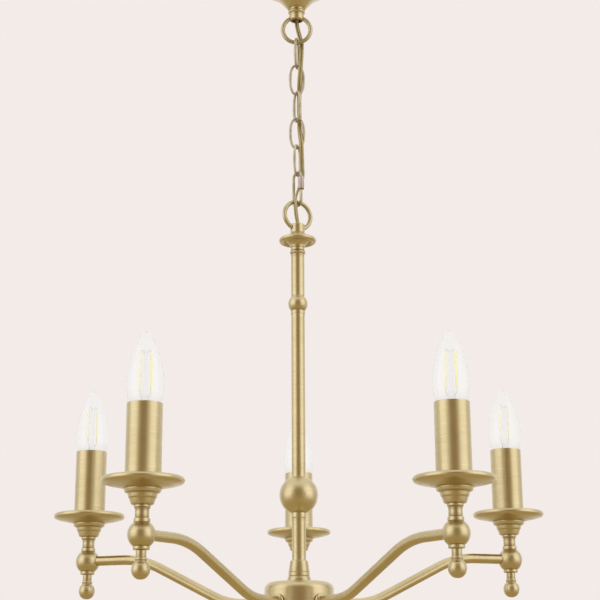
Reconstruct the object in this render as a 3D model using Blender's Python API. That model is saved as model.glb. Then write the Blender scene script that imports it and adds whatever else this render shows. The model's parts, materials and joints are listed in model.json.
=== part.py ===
"""Five-light satin brass chandelier on a short chain, as separate turned, bent and spun pieces.

The world is in metres with +Z up. Its origin is on the ceiling, on the fixture's axis. Every size below is
in millimetres and passes through MM once, where a mesh is made. Heights count from the plane of the drip
pans' rims, which hangs PAN_DROP under the ceiling.
"""
import math

import bmesh
import bpy
from mathutils import Matrix, Vector

MM = 0.001
GAP = 0.3                    # between pieces that touch

# Driving sizes
PAN_DROP = 580.0             # ceiling down to the drip pans' rims
ARM_COUNT = 5
ARM_REACH = 230.6            # column axis to lamp axis
FIRST_ARM_DEG = 90.0

# Ceiling end
STRAP_LENGTH, STRAP_WIDTH, STRAP_THICK = 80.0, 20.0, 2.5
STRAP_HOLE_R, STRAP_HOLE_X = 2.3, 33.0
STUD_R, STUD_LENGTH = 2.0, 36.5
ROSE_R, ROSE_WALL = 46.0, 1.6
LOOP_R, LOOP_TOP, LOOP_BOTTOM = 8.0, 547.0, 533.6

# Rings and chain: outer length, outer width, wire diameter
RING = (34.5, 34.5, 4.2)
LINK = (36.7, 17.0, 2.6)
QUICK_LINK = (40.5, 16.0, 3.2)
RING_TOP = 539.5
LINK_FULLNESS = 2.5          # exponent of the link's oval: 2 is an ellipse, more is squarer
QUICK_CORNER_R = 5.2
QUICK_MOUTH = (338.0, 346.0)
NUT_R, NUT_TOP, NUT_LENGTH = 3.5, 349.3, 14.7
RING_TUNNEL_R = 3.0          # room for a ring's wire where it passes through a collar

# Each hanging piece: name, kind, turn about the vertical in degrees
HANGING = (
    ("upper_ring", "ring", 0.0),
    ("chain_link_1", "link", 77.0),
    ("chain_link_2", "link", 6.0),
    ("chain_link_3", "link", 116.0),
    ("chain_link_4", "link", 1.0),
    ("chain_link_5", "link", 66.0),
    ("quick_link", "quick", -52.0),
    ("lower_ring", "ring", 27.0),
)

# Flex
FLEX_R = 2.0
FLEX_BORE_R = 2.4
FLEX_OFFSET = 4.6            # beside the rings' wires, inside both collars

# Column
CAP_R, CAP_TOP, CAP_BOTTOM = 7.5, 296.7, 286.7
TUBE_R, TUBE_BORE = 7.0, 5.9
ROD_R, ROD_BORE, ROD_TOP, ROD_BOTTOM = 4.0, 2.6, 272.0, -81.0
ROD_HOLE_R = 4.4
SPIGOT_R = 5.5
KNOP_R, KNOP_Z = 10.0, 209.3
BALL_R, BALL_Z, BALL_WALL = 19.4, 11.2, 1.5

# Hub
HUB_R, HUB_TOP, HUB_CORNER_R, HUB_WALL = 34.2, -74.3, 8.0, 1.7
HUB_BOTTOM = -112.0
ARM_ENTRY_Z = -96.1
TERMINAL = (26.0, 18.0, 16.0)

# Arms: centreline of arcs and straights in the arm's own upright plane
ARM_R, ARM_BORE = 5.0, 3.9
ARM_INNER_END, ARM_OUTER_END = 27.5, ARM_REACH - 6.0
ARM_EXIT_Z = -46.8
ARM_SLOPE_DEG = 25.6
ARM_LOWER_BEND_R, ARM_UPPER_BEND_R = 65.9, 93.2
ARM_UPPER_BEND_END = 194.6
ARM_COLLAR = (34.7, 37.2, 6.8)   # from, to, radius

# Lights, about each lamp's own axis
KNUCKLE_R, KNUCKLE_Z = 12.4, -47.3
PAN_R, PAN_LIP = 35.3, 2.2
CANDLE_R, CANDLE_WALL, CANDLE_TOP, CANDLE_FOOT = 16.05, 1.2, 67.6, -5.6
NIPPLE_R, NIPPLE_HOLE_R = 3.7, 4.3
HOLDER_R, HOLDER_TOP, SOCKET_R, SOCKET_FLOOR = 12.6, 58.0, 7.6, 33.0
CAP_SCREW_R, CAP_SCREW_LENGTH = 6.9, 25.0
GLASS = ((8.4, 59.0), (12.4, 63.0), (14.3, 67.4), (15.6, 71.0), (16.8, 77.5), (17.1, 85.0), (16.6, 93.0),
         (15.4, 100.5), (13.6, 108.5), (10.8, 117.5), (7.4, 124.5), (4.3, 129.8), (0.0, 132.8))
FINIAL_R, FINIAL_Z = 8.3, -77.3


def clear_scene():
    for old in list(bpy.data.objects):
        bpy.data.objects.remove(old, do_unlink=True)


# ---- materials ----------------------------------------------------------------------------------------


def principled(name, colour, roughness, metallic, transmission=0.0):
    material = bpy.data.materials.new(name)
    material.use_nodes = True
    shader = material.node_tree.nodes["Principled BSDF"]
    shader.inputs["Base Color"].default_value = (*colour, 1.0)
    shader.inputs["Roughness"].default_value = roughness
    shader.inputs["Metallic"].default_value = metallic
    shader.inputs["Transmission Weight"].default_value = transmission
    return material


def make_materials():
    return {
        "satin_brass": principled("satin_brass", (0.62, 0.49, 0.25), 0.33, 1.0),
        "aged_brass": principled("aged_brass", (0.42, 0.36, 0.23), 0.38, 1.0),
        "zinc_steel": principled("zinc_steel", (0.55, 0.55, 0.54), 0.45, 1.0),
        "gold_flex": principled("gold_flex", (0.45, 0.36, 0.16), 0.35, 0.0),
        "clear_glass": principled("clear_glass", (0.95, 0.95, 0.93), 0.03, 0.0, 0.9),
        "holder_plastic": principled("holder_plastic", (0.05, 0.05, 0.05), 0.5, 0.0),
        "terminal_plastic": principled("terminal_plastic", (0.8, 0.78, 0.72), 0.5, 0.0),
    }


# ---- shapes -------------------------------------------------------------------------------------------


def arc(centre, radius, start_deg, end_deg, steps):
    """Points along an arc in a plane, both ends included."""
    points = []
    for i in range(steps + 1):
        angle = math.radians(start_deg + (end_deg - start_deg) * i / steps)
        points.append((centre[0] + radius * math.cos(angle), centre[1] + radius * math.sin(angle)))
    return points


def skin(bm, rows, closed):
    """Faces between neighbouring rows of vertices. A row of one vertex is a pole."""
    count = max(len(row) for row in rows)
    pairs = list(zip(rows, rows[1:]))
    if closed:
        pairs.append((rows[-1], rows[0]))
    for row, following in pairs:
        for i in range(count):
            corners = [row[i % len(row)], row[(i + 1) % len(row)]]
            corners += [following[(i + 1) % len(following)], following[i % len(following)]]
            distinct = list(dict.fromkeys(corners))
            if len(distinct) > 2:
                bm.faces.new(distinct)


def finish_mesh(name, bm):
    bmesh.ops.recalc_face_normals(bm, faces=bm.faces)
    mesh = bpy.data.meshes.new(name)
    bm.to_mesh(mesh)
    bm.free()
    mesh.shade_smooth()
    mesh.set_sharp_from_angle(angle=math.radians(35))
    return mesh


def turned_mesh(name, outline, segments):
    """An outline of (radius, height) spun about Z. Points on the axis become poles; one that never
    touches the axis is a closed loop with a bore through it."""
    bm = bmesh.new()
    rows = []
    for radius, height in outline:
        ring = []
        for i in range(segments if radius > 0 else 1):
            turn = 2 * math.pi * i / segments
            spot = (radius * math.cos(turn), radius * math.sin(turn), height)
            ring.append(bm.verts.new(Vector(spot) * MM))
        rows.append(ring)
    skin(bm, rows, closed=all(radius > 0 for radius, _ in outline))
    return finish_mesh(name, bm)


def swept_rows(bm, line, radii, sides, closed):
    """A circle of vertices round each point of a flat line of (along, height) points in the XZ plane."""
    rows = []
    last = len(line) - 1
    for i, (along, height) in enumerate(line):
        before = line[i - 1] if closed else line[max(i - 1, 0)]
        after = line[(i + 1) % len(line)] if closed else line[min(i + 1, last)]
        heading = Vector((after[0] - before[0], 0, after[1] - before[1])).normalized()
        normal = Vector((-heading.z, 0, heading.x))
        row = []
        for k in range(sides):
            turn = 2 * math.pi * (k + 0.5) / sides
            offset = normal * math.cos(turn) + Vector((0, 1, 0)) * math.sin(turn)
            row.append(bm.verts.new((Vector((along, 0, height)) + offset * radii[i]) * MM))
        rows.append(row)
    return rows


def bent_bar(name, line, radius, sides, closed=False):
    """A solid round bar along a line, joined into a loop or with flat ends."""
    bm = bmesh.new()
    rows = swept_rows(bm, line, [radius] * len(line), sides, closed)
    skin(bm, rows, closed)
    if not closed:
        bm.faces.new(rows[0])
        bm.faces.new(rows[-1])
    return finish_mesh(name, bm)


def bent_tube(name, outside, radii, inside, bore, sides):
    """A bent tube: outside has one radius for each of its points, so it can step out into a collar."""
    bm = bmesh.new()
    outer = swept_rows(bm, outside, radii, sides, False)
    inner = swept_rows(bm, inside, [bore] * len(inside), sides, False)
    skin(bm, outer + inner[::-1], closed=True)
    return finish_mesh(name, bm)


def place(name, mesh, material, at=(0, 0, 0), turn_deg=0.0, parent=None):
    """An object at a spot in millimetres under its parent, or in the world."""
    obj = bpy.data.objects.new(name, mesh)
    bpy.context.scene.collection.objects.link(obj)
    obj.location = Vector(at) * MM
    obj.rotation_euler = (0, 0, math.radians(turn_deg))
    obj.parent = parent
    if material and not mesh.materials:
        mesh.materials.append(material)
    return obj


def pivot(name, at, parent=None):
    empty = bpy.data.objects.new(name, None)
    bpy.context.scene.collection.objects.link(empty)
    empty.location = Vector(at) * MM
    empty.parent = parent
    return empty


def combine(obj, tool, operation):
    modifier = obj.modifiers.new(f"{operation.lower()} {tool.name}", "BOOLEAN")
    modifier.operation = operation
    modifier.solver = "EXACT"
    modifier.object = tool
    tool.hide_render = True
    tool.display_type = "WIRE"


def cylinder_mesh(name, radius, low, high, segments=12):
    return turned_mesh(name, [(0, low), (radius, low), (radius, high), (0, high)], segments)


def ceiling_height(height):
    """A height above the pan rims as a height in the world."""
    return height - PAN_DROP


# ---- ceiling end --------------------------------------------------------------------------------------


def ceiling_bracket(materials):
    """Flat strap with two screw holes, a hole for the flex and the stud that carries the fixture."""
    bm = bmesh.new()
    size = Vector((STRAP_LENGTH, STRAP_WIDTH, STRAP_THICK)) * MM
    bmesh.ops.create_cube(bm, size=1.0)
    bmesh.ops.transform(bm, matrix=Matrix.Diagonal((*size, 1.0)), verts=bm.verts)
    bmesh.ops.translate(bm, vec=(0, 0, -STRAP_THICK * MM / 2), verts=bm.verts)
    upright = [edge for edge in bm.edges if abs((edge.verts[0].co - edge.verts[1].co).z) > size.z / 2]
    bmesh.ops.bevel(bm, geom=upright, offset=5 * MM, segments=3, affect="EDGES")
    strap = place("ceiling_bracket", finish_mesh("ceiling_bracket", bm), materials["zinc_steel"])
    stud = cylinder_mesh("stud_tool", STUD_R, -STUD_LENGTH, -STRAP_THICK / 2)
    combine(strap, place("stud_tool", stud, None), "UNION")
    for side in (-1, 1):
        hole = cylinder_mesh("screw_hole_tool", STRAP_HOLE_R, -STRAP_THICK - 1, 1)
        spot = (side * STRAP_HOLE_X, 0, 0)
        combine(strap, place("screw_hole_tool", hole, None, spot), "DIFFERENCE")
    flex_hole = cylinder_mesh("strap_flex_tool", FLEX_R + 0.6, -STRAP_THICK - 1, 1)
    combine(strap, place("strap_flex_tool", flex_hole, None, (0, FLEX_OFFSET, 0)), "DIFFERENCE")


def ceiling_rose(materials):
    """Spun dish whose small floor rests on the loop collar under it."""
    outside = [(10.6, 547.9), (12.6, 550.6), (16.8, 556.0), (24.5, 563.6), (37.6, 572.6), (44.8, 577.5)]
    inside = [(ROSE_R - ROSE_WALL, 579.3), (43.8, 578.9), (36.6, 574.2), (23.2, 565.1), (15.2, 557.2)]
    outline = [(7.2, 547.3), (9.6, 547.3)] + outside + [(ROSE_R, 578.5), (ROSE_R, PAN_DROP - GAP)]
    outline += [(ROSE_R - ROSE_WALL, PAN_DROP - GAP)] + inside + [(10.6, 551.4), (8.8, 549.9), (7.2, 549.6)]
    mesh = turned_mesh("ceiling_rose", outline, 20)
    place("ceiling_rose", mesh, materials["satin_brass"], (0, 0, -PAN_DROP))


def ring_tunnel(name, centre_z, yaw_deg, at, parent):
    """A fat ring that hollows out a collar where a ring's wire passes through it."""
    length, _, wire = RING
    radius = (length - wire) / 2
    line = arc((0, centre_z), radius, 0, 360, 20)[:-1]
    mesh = bent_bar(name, line, RING_TUNNEL_R, 8, closed=True)
    return place(name, mesh, None, at, yaw_deg, parent)


def rose_loop(materials):
    """Collar under the rose: the stud screws in from above, the ring passes across, and the flex runs
    down beside the ring's wire."""
    outline = [(0, LOOP_BOTTOM), (6.4, LOOP_BOTTOM), (7.6, LOOP_BOTTOM + 0.8), (7.6, 540.8), (8.6, 541.6)]
    outline += [(9.2, 543.2), (8.6, 544.9), (7.8, 545.5), (LOOP_R, LOOP_TOP), (STUD_R + GAP, LOOP_TOP)]
    outline += [(STUD_R + GAP, 541.8), (0, 541.8)]
    at = (0, 0, -PAN_DROP)
    loop = place("rose_loop", turned_mesh("rose_loop", outline, 14), materials["satin_brass"], at)
    centre_z = RING_TOP - RING[0] / 2
    combine(loop, ring_tunnel("rose_tunnel_tool", centre_z, HANGING[0][2], at, None), "DIFFERENCE")
    bore = cylinder_mesh("rose_flex_tool", FLEX_BORE_R, LOOP_BOTTOM - 1, LOOP_TOP + 1)
    combine(loop, place("rose_flex_tool", bore, None, (0, FLEX_OFFSET, -PAN_DROP)), "DIFFERENCE")


# ---- rings and chain ----------------------------------------------------------------------------------


def oval_line(length, width, wire, fullness, steps):
    """Centreline of a chain link as a superellipse."""
    half_width = (width - wire) / 2
    half_length = (length - wire) / 2
    line = []
    for i in range(steps):
        turn = 2 * math.pi * i / steps
        across = math.copysign(abs(math.cos(turn)) ** (2 / fullness), math.cos(turn))
        along = math.copysign(abs(math.sin(turn)) ** (2 / fullness), math.sin(turn))
        line.append((half_width * across, half_length * along))
    return line


def quick_link_line(centre_z):
    """Centreline of the quick link, from the top of its mouth round to the mouth's bottom."""
    length, width, wire = QUICK_LINK
    side = (width - wire) / 2
    end = (length - wire) / 2
    flat = side - QUICK_CORNER_R
    corner = end - QUICK_CORNER_R
    line = [(side, QUICK_MOUTH[1] - centre_z)]
    for across, along, start in ((1, 1, 0), (-1, 1, 90), (-1, -1, 180), (1, -1, 270)):
        line += arc((across * flat, along * corner), QUICK_CORNER_R, start, start + 90, 3)
    line.append((side, QUICK_MOUTH[0] - centre_z))
    return line


def hanging_heights():
    """Each hanging piece's name with its top and bottom, from the way one wire rests on the next."""
    sizes = {"ring": RING, "link": LINK, "quick": QUICK_LINK}
    heights = {}
    top = RING_TOP
    for place_in_chain, (name, kind, _) in enumerate(HANGING):
        length, _, wire = sizes[kind]
        if place_in_chain:
            above_kind = HANGING[place_in_chain - 1][1]
            above_bottom = heights[HANGING[place_in_chain - 1][0]][1]
            top = above_bottom + sizes[above_kind][2] + GAP + wire
        heights[name] = (top, top - length)
    return heights


def hanging_pieces(materials):
    """Rings, links and the quick link, each with its origin on the wire that it swings about."""
    heights = hanging_heights()
    meshes = {}
    swing_z = RING_TOP - RING[2] / 2
    for name, kind, yaw in HANGING:
        top, bottom = heights[name]
        centre_z = (top + bottom) / 2
        lift = centre_z - swing_z
        if kind == "ring":
            length, _, wire = RING
            line = arc((0, lift), (length - wire) / 2, 0, 360, 18)[:-1]
        elif kind == "link":
            length, width, wire = LINK
            line = [(x, z + lift) for x, z in oval_line(length, width, wire, LINK_FULLNESS, 16)]
        else:
            wire = QUICK_LINK[2]
            line = [(x, z + lift) for x, z in quick_link_line(centre_z)]
        key = (kind, round(lift, 3))
        if key not in meshes:
            meshes[key] = bent_bar(name, line, wire / 2, 6, closed=kind != "quick")
        at = (0, 0, ceiling_height(swing_z))
        place(name, meshes[key], materials["aged_brass"], at, yaw)
        swing_z = bottom + wire / 2
    return heights


def quick_link_nut(materials):
    """Sleeve nut that closes the quick link's mouth, on the wire's own axis."""
    _, width, wire = QUICK_LINK
    yaw = math.radians(dict((name, turn) for name, _, turn in HANGING)["quick_link"])
    side = (width - wire) / 2
    bore = wire / 2 + GAP
    low = -NUT_LENGTH
    outline = [(bore, low), (NUT_R - 0.4, low), (NUT_R, low + 0.7), (NUT_R, -0.7), (NUT_R - 0.4, 0)]
    outline.append((bore, 0))
    at = (side * math.cos(yaw), side * math.sin(yaw), ceiling_height(NUT_TOP))
    place("quick_link_nut", turned_mesh("quick_link_nut", outline, 8), materials["aged_brass"], at)


# ---- flex ---------------------------------------------------------------------------------------------

# Route of the flex from the strap to the hub: down through the rose and its collar, behind the ring, then
# woven through the chain, in front of the lower ring and down the column. (x, y, height)
FLEX_ROUTE = (
    (0.0, 4.6, 579.6), (0.0, 4.6, 565.0), (0.0, 4.6, 550.0), (0.0, 4.6, 540.0), (0.4, 4.8, 530.0),
    (2.8, 5.2, 519.0), (5.3, 5.4, 508.0), (5.2, 3.8, 498.0), (4.7, 0.4, 488.0), (4.3, -3.6, 478.0),
    (3.7, -3.4, 470.0), (3.0, -0.2, 461.5), (2.6, 3.2, 453.5), (2.5, 4.7, 446.0), (2.3, 4.8, 436.0),
    (2.4, 4.8, 425.0), (2.6, 4.6, 415.5), (2.7, 3.0, 407.0), (3.1, -0.2, 399.0), (4.0, -3.4, 390.5),
    (4.5, -4.2, 383.0), (4.8, -2.0, 373.0), (5.1, 0.8, 362.0), (5.4, 2.0, 352.5), (3.0, 2.4, 342.0),
    (-0.4, -0.4, 331.0), (-1.1, -5.2, 323.0), (-0.9, -6.4, 316.0), (0.4, -5.9, 307.0),
    (1.8, -4.6, 299.0), (2.1, -4.1, 293.0), (1.95, -3.8, 288.5), (1.35, -2.65, 285.0),
    (0.8, -1.55, 281.5), (0.25, -0.5, 276.5), (0.0, 0.0, 270.0), (0.0, 0.0, 255.0), (0.0, 0.0, 150.0),
    (0.0, 0.0, 20.0), (0.0, 0.0, -95.0),
)
FLEX_STEP_CHAIN, FLEX_STEP_ROD = 6.0, 14.0


def smooth_line(route, steps):
    """Points on a Catmull-Rom curve through the route, steps for each stretch."""
    ends = [route[0] * 2 - route[1], *route, route[-1] * 2 - route[-2]]
    line = []
    for before, start, end, after in zip(ends, ends[1:], ends[2:], ends[3:]):
        for i in range(steps):
            t = i / steps
            pull = (end - before) * t + (before * 2 - start * 5 + end * 4 - after) * t ** 2
            pull += (start * 3 - before - end * 3 + after) * t ** 3
            line.append(start + pull / 2)
    line.append(route[-1])
    return line


def thinned(line):
    """Fewer points of a fine line: close together along the chain, wider apart inside the rod."""
    kept = [line[0]]
    travelled = 0.0
    for previous, point in zip(line, line[1:]):
        travelled += (point - previous).length
        step = FLEX_STEP_CHAIN if point.z > ROD_TOP - 8 else FLEX_STEP_ROD
        if travelled >= step:
            kept.append(point)
            travelled = 0.0
    if (kept[-1] - line[-1]).length < FLEX_STEP_CHAIN:
        kept.pop()
    kept.append(line[-1])
    return kept


def flex_cable(materials):
    line = thinned(smooth_line([Vector(point) for point in FLEX_ROUTE], 24))
    curve = bpy.data.curves.new("flex_cable", "CURVE")
    curve.dimensions = "3D"
    curve.bevel_depth = FLEX_R * MM
    curve.bevel_resolution = 2
    curve.use_fill_caps = True
    spline = curve.splines.new("POLY")
    spline.points.add(len(line) - 1)
    for spot, point in zip(spline.points, line):
        spot.co = (*(point * MM), 1.0)
    curve.materials.append(materials["gold_flex"])
    obj = bpy.data.objects.new("flex_cable", curve)
    bpy.context.scene.collection.objects.link(obj)
    obj.location = (0, 0, -PAN_DROP * MM)


# ---- column -------------------------------------------------------------------------------------------


def loop_cap(materials, parent, base):
    """Collar on top of the column: the lower ring passes across it and the flex goes down beside."""
    outline = [(0, 290.4), (6.3, 290.4), (6.3, 283.6), (ROD_HOLE_R, 282.2), (ROD_HOLE_R, 262.5)]
    outline += [(SPIGOT_R, 262.5), (SPIGOT_R, 281.0), (6.9, 281.4), (6.9, CAP_BOTTOM)]
    outline += [(CAP_R, CAP_BOTTOM), (CAP_R, CAP_TOP - 0.6), (CAP_R - 0.6, CAP_TOP), (0, CAP_TOP)]
    cap = place("loop_cap", turned_mesh("loop_cap", outline, 14), materials["satin_brass"], base,
                parent=parent)
    name, _, yaw = HANGING[-1]
    top, bottom = hanging_heights()[name]
    tunnel = ring_tunnel("cap_tunnel_tool", (top + bottom) / 2, yaw, base, parent)
    combine(cap, tunnel, "DIFFERENCE")
    turn = math.radians(yaw)
    spot = Vector((math.sin(turn), -math.cos(turn), 0)) * FLEX_OFFSET + Vector(base)
    bore = cylinder_mesh("cap_flex_tool", FLEX_BORE_R, 289.0, CAP_TOP + 1)
    combine(cap, place("cap_flex_tool", bore, None, spot, parent=parent), "DIFFERENCE")


def bored(outline_outside, low, high, bore):
    """A turned outline with a plain bore between its two ends."""
    return [(bore, low)] + outline_outside + [(bore, high)]


def column_pieces(materials, parent, base):
    """The turned pieces threaded on the rod, from the top down."""
    brass = materials["satin_brass"]
    saucer = [(5.9, 270.7), (7.6, 270.7), (9.4, 273.8), (17.2, 276.7), (19.1, 277.9), (19.1, 279.6)]
    saucer += [(14.0, 283.2), (7.9, 286.4)]
    saucer += [(7.2, 286.4), (7.2, 280.7), (5.9, 280.7)]

    neck = [(TUBE_R, 218.7), (TUBE_R, 263.6), (8.2, 264.2), (8.2, 270.0), (7.6, 270.4)]
    neck = bored(neck, 218.7, 270.4, TUBE_BORE)

    knop = [(7.4, 198.3), (7.4, 202.6)]
    knop += arc((0, KNOP_Z), KNOP_R, -39, 62, 6)
    knop = bored(knop, 198.3, knop[-1][1], ROD_HOLE_R)

    long_tube = bored([(TUBE_R, 29.6), (TUBE_R, 198.0)], 29.6, 198.0, TUBE_BORE)

    rise = math.degrees(math.acos(7.3 / BALL_R))
    inner = BALL_R - BALL_WALL
    inner_rise = math.degrees(math.acos(ROD_HOLE_R / inner))
    ball = arc((0, BALL_Z), BALL_R, -rise, rise, 8)
    ball += [(ROD_HOLE_R, ball[-1][1])]
    ball += arc((0, BALL_Z), inner, inner_rise, -inner_rise, 5)
    ball += [(ROD_HOLE_R, ball[0][1])]

    lower_tube = [(TUBE_R, -54.0), (TUBE_R, -11.6), (7.6, -11.0), (8.2, -7.2)]
    lower_tube = bored(lower_tube, -54.0, -7.2, TUBE_BORE)

    base_collar = [(11.6, -74.0), (11.4, -70.0), (10.4, -69.2), (10.4, -65.2), (8.7, -54.3)]
    base_collar = bored(base_collar, -74.0, -54.3, ROD_HOLE_R)

    rod = bored([(ROD_R, ROD_BOTTOM), (ROD_R, ROD_TOP)], ROD_BOTTOM, ROD_TOP, ROD_BORE)

    pieces = (
        ("top_saucer", saucer, 14, brass),
        ("upper_tube", neck, 12, brass),
        ("knop", knop, 12, brass),
        ("long_tube", long_tube, 12, brass),
        ("column_ball", ball, 14, brass),
        ("lower_tube", lower_tube, 12, brass),
        ("base_collar", base_collar, 12, brass),
        ("threaded_rod", rod, 10, materials["zinc_steel"]),
    )
    for name, outline, segments, material in pieces:
        place(name, turned_mesh(name, outline, segments), material, base, parent=parent)


# ---- hub ----------------------------------------------------------------------------------------------


def arm_azimuths():
    return [FIRST_ARM_DEG + 360 * i / ARM_COUNT for i in range(ARM_COUNT)]


def hub(materials, parent, base):
    """Drum with a rounded top and a hole for each arm, closed by a base with a ball under it."""
    corner = (HUB_R - HUB_CORNER_R, HUB_TOP - HUB_CORNER_R)
    outline = [(HUB_R, HUB_BOTTOM)] + arc(corner, HUB_CORNER_R, 0, 90, 3)
    outline += [(ROD_HOLE_R, HUB_TOP), (ROD_HOLE_R, HUB_TOP - HUB_WALL)]
    outline += arc(corner, HUB_CORNER_R - HUB_WALL, 90, 0, 2) + [(HUB_R - HUB_WALL, HUB_BOTTOM)]
    shell = place("hub_shell", turned_mesh("hub_shell", outline, 20), materials["satin_brass"], base,
                  parent=parent)
    hole = cylinder_mesh("arm_hole_tool", ARM_R + 0.6, 24, HUB_R + 6, 8)
    hole.transform(Matrix.Rotation(math.radians(90), 4, "Y"))
    for azimuth in arm_azimuths():
        spot = (base[0], base[1], base[2] + ARM_ENTRY_Z)
        combine(shell, place("arm_hole_tool", hole, None, spot, azimuth, parent), "DIFFERENCE")

    lip = HUB_R - HUB_WALL - GAP
    floor = HUB_BOTTOM - GAP
    under = [(0, floor + 0.6), (lip - 2.2, floor + 0.6), (lip - 2.2, floor + 3.2), (lip, floor + 3.2)]
    under += [(lip, floor), (HUB_R, floor), (HUB_R, floor - 1.8), (HUB_R - 2.4, floor - 4.2)]
    under += [(9.0, floor - 7.0), (6.0, floor - 9.6)]
    ball_z = floor - 17.2
    under += arc((0, ball_z), 9.0, 50, -55, 4) + [(0, ball_z - 9.0)]
    place("hub_base", turned_mesh("hub_base", under, 20), materials["satin_brass"], base, parent=parent)

    bm = bmesh.new()
    size = Vector(TERMINAL) * MM
    bmesh.ops.create_cube(bm, size=1.0)
    bmesh.ops.transform(bm, matrix=Matrix.Diagonal((*size, 1.0)), verts=bm.verts)
    bmesh.ops.bevel(bm, geom=bm.edges[:], offset=0.8 * MM, segments=1, affect="EDGES")
    middle = floor + 0.6 + GAP + TERMINAL[2] / 2
    place("hub_terminal", finish_mesh("hub_terminal", bm), materials["terminal_plastic"],
          (base[0], base[1], base[2] + middle), parent=parent)


# ---- arms and lights ----------------------------------------------------------------------------------


def arm_line():
    """The S of an arm: level out of the hub, up a slope, level again into the knuckle."""
    slope = math.radians(ARM_SLOPE_DEG)
    upper_centre = (ARM_UPPER_BEND_END, ARM_EXIT_Z - ARM_UPPER_BEND_R)
    upper = arc(upper_centre, ARM_UPPER_BEND_R, 90 + ARM_SLOPE_DEG, 90, 3)
    lower_end_z = ARM_ENTRY_Z + ARM_LOWER_BEND_R * (1 - math.cos(slope))
    lower_end = upper[0][0] - (upper[0][1] - lower_end_z) / math.tan(slope)
    lower_centre = (lower_end - ARM_LOWER_BEND_R * math.sin(slope), ARM_ENTRY_Z + ARM_LOWER_BEND_R)
    lower = arc(lower_centre, ARM_LOWER_BEND_R, -90, ARM_SLOPE_DEG - 90, 3)
    return [(ARM_INNER_END, ARM_ENTRY_Z)], lower + upper, [(ARM_OUTER_END, ARM_EXIT_Z)]


def arm_mesh():
    """The arm's tube, with a turned collar where it meets the hub."""
    start, bends, end = arm_line()
    inner, outer, collar_r = ARM_COLLAR
    collar = [(inner, ARM_ENTRY_Z), (inner, ARM_ENTRY_Z), (outer, ARM_ENTRY_Z), (outer, ARM_ENTRY_Z)]
    outside = start + collar + bends + end
    radii = [ARM_R, ARM_R, collar_r, collar_r, ARM_R] + [ARM_R] * (len(bends) + 1)
    return bent_tube("arm", outside, radii, start + bends + end, ARM_BORE, 8)


def knuckle_outline():
    bottom = -57.0
    foot = math.degrees(math.acos(7.4 / KNUCKLE_R))
    neck = math.degrees(math.acos(7.0 / KNUCKLE_R))
    outside = [(7.4, bottom)] + arc((0, KNUCKLE_Z), KNUCKLE_R, -foot, neck, 6)
    outside += [(7.3, -36.8), (7.2, -33.8), (6.2, -33.0), (6.2, -24.6)]
    return [(2.2, bottom)] + outside + [(NIPPLE_HOLE_R, -24.6), (NIPPLE_HOLE_R, -38.0), (2.2, -39.0)]


def pan_outline():
    outside = [(NIPPLE_HOLE_R, -24.3), (7.4, -24.3), (7.4, -22.0), (9.9, -21.4), (11.7, -16.0)]
    outside += [(13.3, -12.0), (15.6, -11.1), (16.5, -7.4), (31.9, -4.0), (34.4, -2.9), (PAN_R, -1.0)]
    outside += [(PAN_R, 0.4), (34.4, 1.8), (32.8, PAN_LIP), (31.0, 1.2), (30.2, -1.0), (17.4, -5.9)]
    return outside + [(NIPPLE_HOLE_R, -5.9)]


def candle_outline():
    inner = CANDLE_R - CANDLE_WALL
    return [(inner, CANDLE_FOOT), (CANDLE_R, CANDLE_FOOT), (CANDLE_R, CANDLE_TOP), (inner, CANDLE_TOP)]


def holder_outline():
    foot = CANDLE_FOOT
    outline = [(2.3, -33.0), (NIPPLE_R, -33.0), (NIPPLE_R, foot), (HOLDER_R, foot), (HOLDER_R, HOLDER_TOP)]
    return outline + [(SOCKET_R, HOLDER_TOP), (SOCKET_R, SOCKET_FLOOR), (2.3, SOCKET_FLOOR)]


def bulb_outline():
    """Screw cap and candle-shaped glass: a bullet that swells from the cap and runs to a soft point."""
    low = SOCKET_FLOOR + 1.5
    cap = [(0, low), (4.0, low), (CAP_SCREW_R, low + 4.0), (CAP_SCREW_R, low + CAP_SCREW_LENGTH - 1.1)]
    return cap + list(GLASS)


def finial_outline():
    top = -57.3
    rise = math.degrees(math.acos(4.6 / FINIAL_R))
    outline = [(0, -49.0), (1.8, -49.0), (1.8, top), (7.6, top), (7.6, -60.4), (4.5, -61.4), (4.5, -67.0)]
    outline += [(5.8, -68.2)]
    return outline + arc((0, FINIAL_Z), FINIAL_R, rise, -62, 4) + [(0, FINIAL_Z - FINIAL_R)]


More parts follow.
